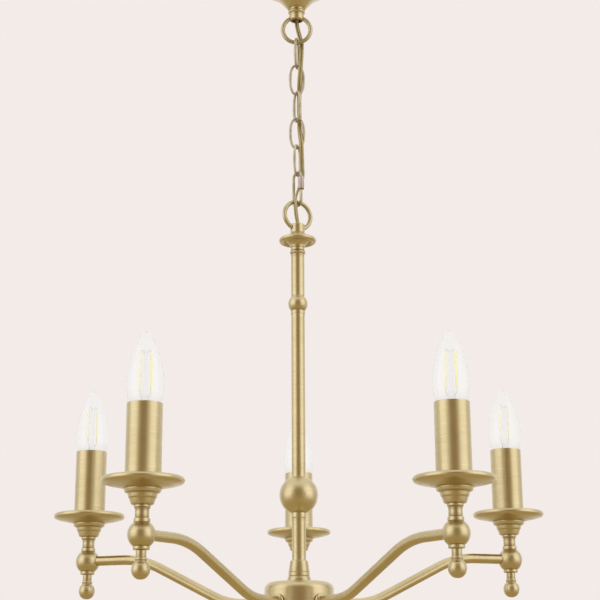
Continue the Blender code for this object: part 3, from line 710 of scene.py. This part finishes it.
def link_line(height, steps=120):
    """Centreline of a chain link as a superellipse, evenly spaced."""
    half_length, half_width = (LINK_SIZE[0] - LINK_WIRE) / 2, (LINK_SIZE[1] - LINK_WIRE) / 2
    rough = []
    for i in range(steps * 8):
        turn = 2 * math.pi * i / (steps * 8)
        across = math.copysign(abs(math.cos(turn)) ** (2 / LINK_FULLNESS), math.cos(turn))
        along = math.copysign(abs(math.sin(turn)) ** (2 / LINK_FULLNESS), math.sin(turn))
        rough.append(Vector((half_width * across, 0, height + half_length * along)))
    return respaced(rough, steps)


def respaced(line, steps):
    """The same closed line with evenly spaced points."""
    spans = [(b - a).length for a, b in zip(line, line[1:] + line[:1])]
    pitch = sum(spans) / steps
    result, travelled = [], 0.0
    for point, span, following in zip(line, spans, line[1:] + line[:1]):
        while len(result) < steps and travelled + span > pitch * len(result):
            result.append(point.lerp(following, (pitch * len(result) - travelled) / span))
        travelled += span
    return result


def seam_profile(line, centre, seam_deg, fuller):
    """Radius factor and wear along a wire loop that is butted at one angle. The ends, which bear on the
    next piece, are worn thinner than the sides."""
    scales, wear_and_shade = [], []
    for point in line:
        angle = math.degrees(math.atan2(point.z - centre, point.x))
        off = math.radians(abs((angle - seam_deg + 180) % 360 - 180)) * SEAM_RADIUS
        dip = math.exp(-(off / SEAM_HALF_WIDTH) ** 2)
        scales.append((1 + fuller * math.cos(math.radians(angle)) ** 2) * (1 - SEAM_DIP * dip))
        wear_and_shade.append(-dip)
    return scales, wear_and_shade


def quick_link_line(height):
    """Centreline of the quick link, from the top of its mouth round to the mouth's bottom."""
    side = (QUICK_SIZE[1] - QUICK_WIRE) / 2
    end = (QUICK_SIZE[0] - QUICK_WIRE) / 2
    flat, corner = side - QUICK_CORNER, end - QUICK_CORNER
    line = [(side, QUICK_MOUTH[1] - height)]
    for across, along, start in ((1, 1, 0), (-1, 1, 90), (-1, -1, 180), (1, -1, 270)):
        line += arc((across * flat, along * corner), QUICK_CORNER, start, start + 90, 14)
    line.append((side, QUICK_MOUTH[0] - height))
    return [Vector((x, 0, z + height)) for x, z in line]


def wire_loop(name, line, wire, sides, fuller, material):
    """A ring or a link that is bent from wire and butted."""
    scales, wear_and_shade = seam_profile(line, centre_height(name), SEAMS[name], fuller)
    section = circle_section(wire / 2, sides)
    loop = swept(name + "_wire", line, section, Vector((0, 1, 0)), True, scales, None, wear_and_shade)
    settle(loop, name, material, AXIS, YAWS[name], [name])


def chain():
    for name in ("upper_ring", "lower_ring"):
        line = ring_line(centre_height(name), (RING_SIZE[0] - RING_WIRE) / 2)
        wire_loop(name, line, RING_WIRE, 28, 0.14, RING_BRASS)
    for name in LINKS:
        wire_loop(name, link_line(centre_height(name)), LINK_WIRE, 22, 0.26, CHAIN_BRASS)
    line = quick_link_line(centre_height("quick_link"))
    link = swept("quick_link_wire", line, circle_section(QUICK_WIRE / 2, 24), Vector((0, 1, 0)))
    settle(link, "quick_link", CHAIN_BRASS, AXIS, YAWS["quick_link"], ["quick_link"])
    quick_link_nut()


def quick_link_nut():
    """Hexagonal sleeve nut with chamfered ends, drawn in a little at its top."""
    low, high = (corner.z / MM - RIM_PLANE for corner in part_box("quick_link_nut"))
    bore, flats = QUICK_WIRE / 2 + 0.2, 3.2
    outline = [(bore, low), (flats - 0.5, low), (flats, low + 0.6)]
    for t in (0.3, 0.5, 0.65, 0.8):
        outline.append((flats - 0.55 * max(0, t - 0.45) ** 1.5, low + (high - low) * t))
    outline += [(flats - 0.3, high - 0.8), (flats - 0.9, high), (bore, high)]

    def hexagonal(radius, turn):
        """The bore stays round, and the hexagon's corners are rounded off."""
        within = (turn + math.pi / 6) % (math.pi / 3) - math.pi / 6
        return radius if radius == bore else radius * min(1 / math.cos(within), 1.10)

    bm = bmesh.new()
    skin(bm, turned_rows(bm, outline, 48, hexagonal), True)
    nut = finished("quick_link_nut_sleeve", bm, 28)
    grain = [(vertex.co.z / MM, vertex.co.x / MM, vertex.co.y / MM) for vertex in nut.data.vertices]
    store(nut, grain, [0.0] * len(grain))
    settle(nut, "quick_link_nut", NUT_METAL, axis_of("quick_link_nut"), 0, ["quick_link_nut"])


# ---- flex ----

# The flex's route, which keeps within a few millimetres of the part's: down through the rose and its
# collar, behind the ring, woven through the chain, in front of the lower ring and down the column.
# (x, y, height)
FLEX_ROUTE = (
    (0, 4.6, 579.6), (0, 4.6, 565), (0, 4.6, 550), (0, 4.6, 540), (0.4, 4.8, 530),
    (2.8, 5.2, 519), (5.3, 5.4, 508), (5.2, 3.8, 498), (4.7, 0.4, 488), (4.3, -3.6, 478),
    (3.7, -3.4, 470), (3, -0.2, 461.5), (2.6, 3.2, 453.5), (2.5, 4.7, 446), (2.3, 4.8, 436),
    (2.4, 4.8, 425), (2.6, 4.6, 415.5), (2.7, 3, 407), (3.1, -0.2, 399), (4, -3.4, 390.5),
    (4.5, -4.2, 383), (4.8, -2, 373), (5.1, 0.8, 362), (5.4, 2, 352.5), (3, 2.4, 342),
    (-0.6, -0.4, 331), (-1.9, -5.2, 323), (-2.1, -6.4, 316), (-1.4, -6.2, 307),
    (-0.2, -5.4, 299), (0.9, -4.7, 293), (1.5, -4, 288.5), (1.3, -2.65, 285),
    (0.8, -1.55, 281.5), (0.25, -0.5, 276.5), (0, 0, 270), (0, 0, 255), (0, 0, 150),
    (0, 0, 20), (0, 0, -95),
)
FLEX_LOBE_R, FLEX_LOBE_OFF = 1.3, 1.22
# Turn of the two cores about the flex's own line, in degrees, at some heights; 0 lays them side by side
FLEX_TWIST = ((580, 90), (545, 42), (520, 28), (500, 0), (470, 0), (445, 20), (420, 0), (400, -20),
              (375, 0), (350, 25), (332, 72), (322, 72), (308, 50), (290, 60), (270, 90), (-95, 90))


def flex_section():
    """Two round cores moulded together."""
    section = []
    waist = math.degrees(math.acos(FLEX_LOBE_OFF / FLEX_LOBE_R * 0.97))
    for centre, start in ((FLEX_LOBE_OFF, -180 + waist), (-FLEX_LOBE_OFF, waist)):
        section += arc((centre, 0), FLEX_LOBE_R, start, start + 360 - 2 * waist, 16)
    return section


def flex_turn(height):
    for (high, first), (low, second) in zip(FLEX_TWIST, FLEX_TWIST[1:]):
        if height >= low:
            t = (high - height) / (high - low)
            return math.radians(first + (second - first) * t * t * (3 - 2 * t))
    return math.radians(FLEX_TWIST[-1][1])


def flex():
    """The flex as one stretch for each joint of the chain, each bent across that joint."""
    line = curve_through(FLEX_ROUTE, 12)
    joints = [joint for joint in frame["joints"] if joint["name"].endswith("_swing")]
    pivots = [joint["pos_m"][2] / MM - RIM_PLANE for joint in joints]
    ends = [line[0].z + 1] + [(a + b) / 2 for a, b in zip(pivots, pivots[1:])] + [line[-1].z - 1]
    section = flex_section()
    # The crease between the two cores is marked for painted shade
    wear_and_shade_values = [-1.0 if abs(x) < FLEX_LOBE_OFF * 0.35 else 0.0 for x, _ in section]
    for number, (joint, top, bottom) in enumerate(zip(joints, ends, ends[1:]), start=1):
        stretch = between_heights(line, top, bottom)
        turns = [flex_turn(point.z) for point in stretch]
        piece = swept(f"flex_stretch_{number}", stretch, section, Vector((1, 0, 0)), turns=turns)
        piece.data.attributes["wear_and_shade"].data.foreach_set("value", wear_and_shade_values * len(stretch))
        piece.data.materials.append(FLEX)
        piece.location = Vector((0, 0, RIM_PLANE)) * MM
        pivot = joint["pos_m"][2] / MM - RIM_PLANE
        start = min(top, pivot - 3.5 if number == 1 else top)
        end = max(bottom, pivot + 5.5 if number == len(joints) else bottom)
        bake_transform(piece, joint["parent"], joint["child"],
                 start=(0, 0, (start + RIM_PLANE) * MM), end=(0, 0, (end + RIM_PLANE) * MM))
        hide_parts("flex_cable")


def between_heights(line, top, bottom):
    """The stretch of a falling line between two heights, cut exactly at both."""
    result = []
    for a, b in zip(line, line[1:]):
        for cut_height in (top, bottom):
            if a.z > cut_height > b.z:
                result.append(a.lerp(b, (a.z - cut_height) / (a.z - b.z)))
        if bottom < b.z < top:
            result.append(b)
    if line[0].z < top:
        result.insert(0, line[0])
    return sorted(result, key=lambda point: -point.z)


# ---- column ----


def column():
    cap = [(0, 290.4), (6.3, 290.4), (6.3, 283.6), (4.6, 282.4), (4.6, 262.5), (5.5, 262.5)]
    cap += [(5.5, 281), (6.9, 281.4), (6.9, 286.9), (7.5, 286.9, 0.3), (7.5, 296.1, 0.5)]
    cap += [(7.1, 296.6, 0.2), (6.6, 296.4, 0.2), (6.4, 295.2), (6.4, 292.4), (0, 292.4)]
    turned_brass("loop_cap_collar", "loop_cap", cap, closed=False, holes=[ring_tool("lower_ring")])

    cone = curve_through([(7.5, 271.3), (7.9, 272.8), (9, 274.8), (10.7, 276.6), (12.4, 277.7)], 5)
    saucer = [(5.9, 270.8), (7.4, 270.8)] + pairs(cone)
    saucer += [(13.6, 278.3, 0.5)] + arc((17.1, 278.7), 2.5, -150, 66, 18)
    saucer += [(13.4, 282.6, 3), (8.6, 285.6, 1), (8, 286.5, 0.3), (7.1, 286.5), (7.1, 280.9)]
    saucer += [(5.9, 280.9)]
    turned_brass("top_saucer_dome", "top_saucer", saucer, segments=96)

    neck = [(5.9, 218.2), (7, 218.2, 0.15), (7, 263.4, 0.3)] + arc((6.4, 265.6), 1.9, -66, 66, 8)
    neck += [(7.2, 267.6, 0.2), (7.3, 270.5, 0.15), (5.9, 270.5)]
    turned_brass("upper_tube_neck", "upper_tube", neck)

    knop = [(4.6, 198.4), (7.4, 198.4, 0.15), (7.4, 202, 0.3), (6.9, 202.6, 0.2)]
    knop += arc((0, 209.6), 10.1, -42, 45, 22)
    knop += [(6.9, 217.2, 0.3), (6.7, 218.3), (4.6, 218.3)]
    turned_brass("knop_ball", "knop", knop)

    long_tube = [(5.9, 28.9), (7, 28.9), (7, 198.5, 0.15), (5.9, 198.5)]
    turned_brass("long_tube_body", "long_tube", long_tube)

    ball = arc((0, 11.2), 19.4, -68, 69, 44)
    ball += [(4.6, ball[-1][1])] + arc((0, 11.2), 17.9, 75, -75, 20) + [(4.6, ball[0][1])]
    turned_brass("column_ball_shell", "column_ball", ball, segments=112)

    lower_tube = [(5.9, -53.9), (7, -53.9), (7, -11.8, 0.3), (7.4, -11.2, 0.3), (7.6, -6.7, 0.2)]
    lower_tube += [(5.9, -6.7)]
    turned_brass("lower_tube_body", "lower_tube", lower_tube)

    base = [(4.6, -74.1), (11.6, -74.1), (11.6, -71.6, 0.5), (11, -69.4, 0.4), (10.3, -69, 0.15)]
    base += [(10.1, -68.6, 0.1), (10.4, -68.3, 0.2), (10.5, -65.2, 0.3), (10, -64.8, 0.1)]
    base += [(10.2, -64.3, 0.2), (9.6, -59, 0), (8.8, -54, 0.4), (8.2, -53.5, 0.2), (4.6, -53.5)]
    turned_brass("base_collar_cone", "base_collar", base)


# ---- hub ----

HUB_R, HUB_TOP, HUB_CORNER, HUB_WALL, HUB_BOTTOM = 34.2, -74.3, 8.0, 1.7, -112.0
ARM_REACH = 230.6                  # from the column's axis to a lamp's
ARM_R, ARM_ENTRY_Z, ARM_EXIT_Z = 5.0, -94.1, -46.8
ARM_SLOPE_DEG, ARM_LOWER_BEND_R, ARM_UPPER_BEND_R, ARM_UPPER_BEND_END = 26.6, 70.0, 90.0, 190.0
KNUCKLE_SOCKET = 13.4              # the arm's hole in a knuckle starts this far inward of its axis


def arm_azimuth(number):
    spot = axis_of(f"candle_tube_{number}")
    return math.degrees(math.atan2(spot.y, spot.x))


def rod_tool(name, radius, start, end, height, azimuth_deg):
    """A level rod pointing out from the axis at an azimuth."""
    direction = Matrix.Rotation(math.radians(azimuth_deg), 3, "Z") @ Vector((1, 0, 0))
    line = [direction * start + Vector((0, 0, height)), direction * end + Vector((0, 0, height))]
    return swept(name, line, circle_section(radius, 40), Vector((0, 0, 1)))


def hub():
    corner = (HUB_R - HUB_CORNER, HUB_TOP - HUB_CORNER)
    outline = [(HUB_R, HUB_BOTTOM)] + arc(corner, HUB_CORNER, 0, 90, 16)
    outline += [(4.6, HUB_TOP), (4.6, HUB_TOP - HUB_WALL)]
    outline += arc(corner, HUB_CORNER - HUB_WALL, 90, 0, 10) + [(HUB_R - HUB_WALL, HUB_BOTTOM)]
    holes = [rod_tool(f"hub_tool_{number}", ARM_R + 0.35, 26, HUB_R + 6, ARM_ENTRY_Z, arm_azimuth(number))
             for number in LIGHTS]
    turned_brass("hub_drum", "hub_shell", outline, segments=144, holes=holes)

    lip, floor = HUB_R - HUB_WALL - 0.3, HUB_BOTTOM - 0.3
    ball_z = floor - 17.2
    under = [(0, floor + 0.6), (lip - 2.2, floor + 0.6), (lip - 2.2, floor + 3.2), (lip, floor + 3.2)]
    under += [(lip, floor), (HUB_R, floor, 0.4), (HUB_R, floor - 1.8, 0.6), (HUB_R - 1.6, floor - 2.4, 0.3)]
    under += [(HUB_R - 2.2, floor - 3.8, 0.5)]
    under += pairs(curve_through([(HUB_R - 4, floor - 4.4), (24, floor - 5.2), (14, floor - 6.2),
                                  (9.2, floor - 7.4), (7, floor - 8.8)], 5))
    under += [(6.2, floor - 10.2, 0.3)] + arc((0, ball_z), 9, 46, -84, 24) + [(0, ball_z - 9)]
    turned_brass("hub_base_plate", "hub_base", under, closed=False, segments=112)


# ---- arms and lights ----


def arm_line():
    """Centreline of an arm in its own upright plane: level, up a slope, level again."""
    slope = math.radians(ARM_SLOPE_DEG)
    upper_centre = (ARM_UPPER_BEND_END, ARM_EXIT_Z - ARM_UPPER_BEND_R)
    upper = arc(upper_centre, ARM_UPPER_BEND_R, 90 + ARM_SLOPE_DEG, 90, 22)
    lower_end_z = ARM_ENTRY_Z + ARM_LOWER_BEND_R * (1 - math.cos(slope))
    lower_end = upper[0][0] - (upper[0][1] - lower_end_z) / math.tan(slope)
    lower_centre = (lower_end - ARM_LOWER_BEND_R * math.sin(slope), ARM_ENTRY_Z + ARM_LOWER_BEND_R)
    lower = arc(lower_centre, ARM_LOWER_BEND_R, -90, ARM_SLOPE_DEG - 90, 18)
    corners = [(27.5, ARM_ENTRY_Z)] + lower + upper + [(ARM_REACH - 6.0, ARM_EXIT_Z)]
    line = []
    for a, b in zip(corners, corners[1:]):
        a, b = Vector((a[0], 0, a[1])), Vector((b[0], 0, b[1]))
        parts = max(1, math.ceil((b - a).length / 4))
        line += [a.lerp(b, k / parts) for k in range(parts)]
    line.append(Vector((corners[-1][0], 0, corners[-1][1])))
    return line


def arm(number, azimuth):
    """The bent tube and the little collar that meets the hub."""
    tube = swept(f"arm_{number}_tube", arm_line(), circle_section(ARM_R, 48), Vector((0, 1, 0)))
    settle(tube, "chandelier", BENT_BRASS, AXIS, azimuth, [f"arm_{number}"])
    ring = [(ARM_R + 0.05, 0.4, 0.1), (6.5, 0.4, 0.4), (6.9, 1.6, 0.5), (6.5, 2.7, 0.4), (5.6, 3.2, 0.3),
            (ARM_R + 0.05, 3.4, 0.1)]
    collar = turned(f"arm_{number}_collar", ring, segments=56)
    collar.data.transform(Matrix.Rotation(math.radians(90), 4, "Y"))
    out = Matrix.Rotation(math.radians(azimuth), 3, "Z") @ Vector((HUB_R, 0, ARM_ENTRY_Z))
    settle(collar, "chandelier", BENT_BRASS, AXIS + out, azimuth)


def knuckle_outline():
    """Ball with a small ring under it and a waisted neck that carries the pan."""
    outline = [(2.2, -60.5), (7, -60.5, 0.4), (7.4, -59.6, 0.5), (7.3, -57.5, 0.4), (6.7, -57.1, 0.15)]
    outline += arc((0, -47.3), 12.4, -52, 53, 28)
    outline += [(6.9, -36.9, 0.15), (7.3, -36.5, 0.3), (7.2, -33.5, 0.4), (6.5, -33.1, 0.15)]
    outline += [(6.2, -32.7, 0.2), (6.2, -25.2, 0.2), (6.9, -24.9, 0.15), (7, -24.5, 0.1)]
    return outline + [(4.4, -24.5), (4.4, -38), (2.2, -39)]


def pan_outline():
    """Three spun tiers that widen up to a shallow dish with a thick, rounded rim."""
    outline = [(4.4, -24.2), (7.2, -24.2, 0.3), (7.4, -23.4, 0.3), (7.4, -22, 0.2), (8.9, -21.8, 0.3)]
    outline += [(10.1, -21.1, 0.9), (10.9, -18.7, 0.8), (11.6, -16.3, 0.3), (12.1, -15.9, 0.15)]
    outline += [(12.5, -15.2, 0.4), (13.1, -12.7, 0.6), (13.3, -11.9, 0.3), (14.4, -11.5, 0.2)]
    outline += [(15.7, -10.9, 0.8), (16.5, -8.6, 0.5), (16.4, -7.8, 0.3), (16.9, -7.3, 0.2)]
    outline += [(18.2, -7.2, 0.5), (32.2, -4.1, 1.5)] + arc((33.8, -0.55), 2.85, -80, 100, 18)
    return outline + [(32.2, 1.5, 0.5), (31.2, -0.9, 1), (17.4, -5.7, 0.5), (4.4, -5.7)]


def candle_outline():
    outer, inner = 16.05, 14.85
    return [(inner, -5.6), (outer, -5.6), (outer, 67.5, 0.55), (inner, 67.5, 0.4)]


def holder_outline():
    """Plastic holder with the shell's rolled thread inside its mouth."""
    outline = [(2.3, -33), (3.7, -33), (3.7, -5.5), (12.6, -5.5), (12.6, 30, 0.4), (11.8, 31, 0.4)]
    outline += [(11.8, 56.8, 0.5), (11.3, 58, 0.5), (7.9, 58, 0.4)]
    height = 56.5
    while height > 35:
        outline += [(7.35, height, 0.3), (7.75, height - 1.2, 0.3)]
        height -= 2.4
    return outline + [(7.6, 33), (2.3, 33)]


def finial_outline():
    """Screw, slim neck, a soft lip and a drop that is a little longer than a ball."""
    outline = [(0, -49), (1.8, -49), (1.8, -60.7), (4.7, -60.7, 0.2), (4.6, -61.5, 0.4)]
    outline += [(4.6, -66.9, 0.6), (5.3, -67.8, 0.4), (5.5, -68.5, 0.4), (5, -69.2, 0.3), (4.9, -69.9, 0.3)]
    drop = curve_through([(5.4, -70.8), (7.2, -72.8), (8.1, -75.6), (8.2, -78.2), (7.1, -81.6), (4.5, -84.4),
                          (2, -85.4)], 6)
    return outline + pairs(drop) + [(0, -85.6)]


GLASS_TIP, GLASS_WALL = 132.8, 0.4
GLASS_SIDE = ((8.4, 58.9), (9.9, 60.6), (12.4, 63.4), (14.2, 67.2), (15.5, 71.2), (16.6, 76.8), (17.1, 83),
              (17.05, 88), (16.4, 94.4), (15.3, 101), (13.6, 108.5), (11.4, 115.5), (9.2, 120.8),
              (6.9, 125.6), (4.8, 129.3), (2.7, 131.8), (1.2, 132.6))


def glass_outline():
    """Outer and inner side of the envelope, from its foot to its soft point."""
    side = curve_through(GLASS_SIDE, 4)
    outer = pairs(side) + [(0, GLASS_TIP)]
    inner = []
    for point, heading in zip(side, headings(side, False)):
        inward = Vector((-heading.y, heading.x)) * GLASS_WALL
        if point.x + inward.x > 0.3:
            inner.append((point.x + inward.x, point.y + inward.y))
    return outer, inner + [(0, GLASS_TIP - 1.5)]


def lamp_glass(name):
    """Both walls of the envelope as one closed mesh."""
    outer, inner = glass_outline()
    segments = 80
    bm = bmesh.new()
    feet = []
    for outline in (outer, inner):
        rows = turned_rows(bm, outline, segments)
        skin(bm, rows, False)
        feet.append(rows[0])
    skin(bm, feet, False)
    return finished(name, bm, 80)


def cap_outline():
    """E14 screw cap: rolled thread, solder tip and the collar that grips the glass."""
    outline = [(0, 34.6), (1.8, 34.7, 0.3), (2.3, 35.4, 0.3), (3.4, 35.8, 0.3), (5.6, 37.6, 0.6)]
    height = 39.0
    while height < 53:
        outline += [(6.55, height, 0.4), (6.95, height + 1.2, 0.4)]
        height += 2.4
    outline += [(6.7, 54.2, 0.3), (7.2, 55.4, 0.4), (7.4, 57, 0.5), (8.7, 60.2, 0.3), (8.7, 61.6, 0.3)]
    return outline + [(7.4, 61.6), (7, 58.5), (0, 58.5)]


def stem_outline():
    """Pressed glass stem: a flare that seals the foot, then the slim exhaust rod."""
    flare = curve_through([(7.3, 58.8), (6.4, 62.6), (4.4, 67.4), (3.3, 72), (2.5, 76.4), (1.8, 81)], 6)
    outline = [(0, 58.8)] + pairs(flare) + [(1.7, 96), (1.7, 111.2, 0.3), (2.4, 112.4, 0.6)]
    return outline + [(2, 114, 0.8), (0, 114.4)]


FILAMENT_LOW, FILAMENT_HIGH, FILAMENT_SPREAD, FILAMENT_LEAN = 79.5, 113.5, 5.1, 0.3
FILAMENT_WIDTH, FILAMENT_THICK = 2.9, 1.1
LAMP_YAWS = {1: 20, 2: 35, 3: 8, 4: -14, 5: 28}    # how far each lamp happens to be screwed round


def filament_ends(side):
    low = Vector((side * FILAMENT_SPREAD, 0, FILAMENT_LOW))
    return low, Vector((side * (FILAMENT_SPREAD - FILAMENT_LEAN), 0, FILAMENT_HIGH))


def flat_bar_section(width, thick):
    """A rounded flat bar's section."""
    half_w, half_t = width / 2, thick / 2
    r = half_t * 0.8
    section = []
    for cx, cy, start in ((1, 1, 0), (-1, 1, 90), (-1, -1, 180), (1, -1, 270)):
        section += arc((cx * (half_w - r), cy * (half_t - r)), r, start, start + 90, 4)
    return section


def filament(name, side):
    low, high = filament_ends(side)
    steps = 30
    line = [low.lerp(high, k / steps) for k in range(steps + 1)]
    scales = [min(1.0, 0.55 + 0.45 * min(k, steps - k) / 1.5) for k in range(steps + 1)]
    turn = 0.15 if side < 0 else 0.95
    facing = Vector((math.cos(turn), math.sin(turn), 0))
    return swept(name, line, flat_bar_section(FILAMENT_WIDTH, FILAMENT_THICK), facing, scales=scales)


def support_wire(name, points):
    line = curve_through(points, 8)
    return swept(name, line, circle_section(0.22, 10), Vector((0.2, 1, 0)).normalized())


def lamp(number, at, yaw_deg):
    """A clear candle lamp with two filament sticks on a glass stem."""
    body = f"bulb_{number}"
    glass = lamp_glass(f"bulb_{number}_glass")
    settle(glass, body, BULB_GLASS, at, yaw_deg, [f"bulb_{number}"])
    cap = turned(f"bulb_{number}_cap", cap_outline(), closed=False, segments=56)
    settle(cap, body, CAP_METAL, at, yaw_deg)
    stem = turned(f"bulb_{number}_stem", stem_outline(), closed=False, segments=32)
    settle(stem, body, STEM_GLASS, at, yaw_deg)
    for side, word in ((-1, "left"), (1, "right")):
        low, high = filament_ends(side)
        stick = filament(f"bulb_{number}_filament_{word}", side)
        settle(stick, body, PHOSPHOR_PALE if side < 0 else PHOSPHOR, at, yaw_deg)
        hook = [(side * 1.2, 0, 113.0), (side * 2.4, 0, 115.2), (side * 3.9, 0, 115.4), tuple(high)]
        settle(support_wire(f"bulb_{number}_hook_{word}", hook), body, LEAD_WIRE, at, yaw_deg)
        lead = [(side * 2.6, 0, 62.0), (side * 2.9, 0, 72.0), (side * 4.8, 0, 76.6), tuple(low)]
        settle(support_wire(f"bulb_{number}_lead_{word}", lead), body, LEAD_WIRE, at, yaw_deg)


def arm_and_light(number):
    """An arm and all that it carries."""
    at = axis_of(f"candle_tube_{number}")
    azimuth = arm_azimuth(number)
    arm(number, azimuth)
    hole = rod_tool(f"knuckle_tool_{number}", ARM_R + 0.25, -KNUCKLE_SOCKET, -5.5, ARM_EXIT_Z, azimuth)
    turned_brass(f"knuckle_{number}_ball", f"knuckle_{number}", knuckle_outline(), at, segments=80,
                 holes=[hole])
    turned_brass(f"drip_pan_{number}_dish", f"drip_pan_{number}", pan_outline(), at, segments=112)
    turned_brass(f"candle_tube_{number}_sleeve", f"candle_tube_{number}", candle_outline(), at, segments=96)
    turned_brass(f"arm_finial_{number}_drop", f"arm_finial_{number}", finial_outline(), at, closed=False,
                 segments=64)
    holder = turned(f"lamp_holder_{number}_socket", holder_outline(), segments=56)
    settle(holder, "chandelier", HOLDER, at, 0, [f"lamp_holder_{number}"])
    lamp(number, at, LAMP_YAWS[number])


# ---- stage ----

BACKDROP = (0.896, 0.831, 0.807)
FLOOR_DROP, FLOOR_R = 2500.0, 200000.0
FLOOR_FADE = (1.5, 7.0)            # in metres
# What the pieces reflect, round the horizon from behind the camera (0) to behind the object (1)
ROOM_ROUND = ((0.0, (0.34, 0.25, 0.14)), (1.0, (0.92, 0.90, 0.88)), (0.10, (0.38, 0.285, 0.165)),
              (0.20, (0.86, 0.82, 0.74)), (0.30, (1.02, 1.01, 0.97)), (0.48, (1.04, 1.03, 1.0)),
              (0.62, (0.74, 0.71, 0.65)), (0.80, (0.88, 0.86, 0.83)))
ROOM_ABOVE, ROOM_BELOW = (1.0, 0.98, 0.94), (0.50, 0.39, 0.20)
# Where the horizon's light gives way to them, by the direction's z
ROOM_TOP, ROOM_FOOT = (0.55, 0.85), (-0.45, -0.02)


def floor():
    """A pale floor a room's height down, which fades into the backdrop with distance."""
    bm = bmesh.new()
    bmesh.ops.create_circle(bm, cap_ends=True, segments=96, radius=FLOOR_R * MM)
    obj = finished("floor", bm)
    obj.location.z = -FLOOR_DROP * MM
    n = Nodes(bpy.data.materials.new("pale_floor"))
    n.set(Base_Color=(0.86, 0.80, 0.78, 1.0), Roughness=0.9)
    glow = n.add("ShaderNodeEmission")
    glow.inputs["Color"].default_value = (*BACKDROP, 1.0)
    length = n.add("ShaderNodeVectorMath", operation="LENGTH")
    n.link(n.place(), length.inputs[0])
    mix = n.add("ShaderNodeMixShader")
    n.link(n.ranged(length.outputs["Value"], *FLOOR_FADE, 0.0, 1.0), mix.inputs["Fac"])
    n.link(n.shader.outputs["BSDF"], mix.inputs[1])
    n.link(glow.outputs["Emission"], mix.inputs[2])
    n.link(mix.outputs["Shader"], n.tree.nodes["Material Output"].inputs["Surface"])
    obj.data.materials.append(n.owner)
    obj.visible_glossy = False


def room_light(n):
    """The colour of the room's light from each direction."""
    x, y, z = n.split(n.add("ShaderNodeTexCoord").outputs["Generated"])
    bearing = n.maths("ARCTAN2", x, n.maths("MULTIPLY", y, -1))
    ramp = n.add("ShaderNodeValToRGB")
    n.link(n.maths("DIVIDE", n.maths("ABSOLUTE", bearing, 0), math.pi), ramp.inputs["Fac"])
    for i, (place, colour) in enumerate(ROOM_ROUND):
        stop = ramp.color_ramp.elements[i] if i < 2 else ramp.color_ramp.elements.new(place)
        stop.position, stop.color = place, (*colour, 1.0)
    level = n.mixed(n.ranged(z, *ROOM_TOP, 0.0, 1.0), ramp.outputs["Color"], ROOM_ABOVE)
    return n.mixed(n.ranged(z, *ROOM_FOOT, 1.0, 0.0), level, ROOM_BELOW)


def surroundings():
    """A soft studio: a pale backdrop for the camera; for reflections, bright to both sides and above,
    darker behind the camera and below."""
    world = bpy.data.worlds.new("studio")
    bpy.context.scene.world = world
    n = Nodes(world)
    n.tree.nodes.clear()
    light = n.add("ShaderNodeBackground")
    n.link(room_light(n), light.inputs["Color"])
    backdrop = n.add("ShaderNodeBackground")
    backdrop.inputs["Color"].default_value = (*BACKDROP, 1.0)
    path = n.add("ShaderNodeLightPath")
    seen = n.maths("MAXIMUM", path.outputs["Is Camera Ray"], path.outputs["Is Transmission Ray"])
    mix = n.add("ShaderNodeMixShader")
    n.link(seen, mix.inputs["Fac"])
    n.link(light.outputs["Background"], mix.inputs[1])
    n.link(backdrop.outputs["Background"], mix.inputs[2])
    out = n.add("ShaderNodeOutputWorld")
    n.link(mix.outputs["Shader"], out.inputs["Surface"])


def panel(name, bearing_deg, elevation_deg, distance, size, power):
    """A soft light panel aimed at the middle of the fixture."""
    light = bpy.data.lights.new(name, "AREA")
    light.shape = "RECTANGLE"
    light.size, light.size_y = size
    light.energy = power
    light.color = (1.0, 0.975, 0.95)
    obj = bpy.data.objects.new(name, light)
    bpy.context.scene.collection.objects.link(obj)
    bearing, elevation = math.radians(bearing_deg), math.radians(elevation_deg)
    away = Vector((math.sin(bearing) * math.cos(elevation), -math.cos(bearing) * math.cos(elevation),
                   math.sin(elevation)))
    middle = (CAD_BOX[0] + CAD_BOX[1]) / 2
    obj.location = middle + away * distance
    obj.rotation_mode = "QUATERNION"
    obj.rotation_quaternion = away.to_track_quat("Z", "Y")
    obj.visible_camera = False


def camera():
    data = bpy.data.cameras.new("camera")
    data.lens = CAMERA_LENS
    data.sensor_width = 36.0
    data.clip_start, data.clip_end = 0.05, 500.0
    obj = bpy.data.objects.new("camera", data)
    bpy.context.scene.collection.objects.link(obj)
    obj.location = Vector(CAMERA_AT) * MM
    pitch = Matrix.Rotation(math.radians(90 + CAMERA_PITCH_DEG), 3, "X")
    roll = Matrix.Rotation(math.radians(CAMERA_ROLL_DEG), 3, "Z")
    yaw = Matrix.Rotation(math.radians(CAMERA_YAW_DEG), 3, "Z")
    obj.rotation_euler = (yaw @ pitch @ roll).to_euler()
    bpy.context.scene.camera = obj


ceiling_end()
chain()
flex()
column()
hub()
for arm_number in LIGHTS:
    arm_and_light(arm_number)
floor()
surroundings()
panel("panel_left", -62, 14, 2.6, (2.2, 3.0), 7)
panel("panel_right", 62, 14, 2.6, (2.2, 3.0), 7)
camera()
bpy.context.scene.view_settings.view_transform = "Standard"
bpy.context.scene.render.film_transparent = False
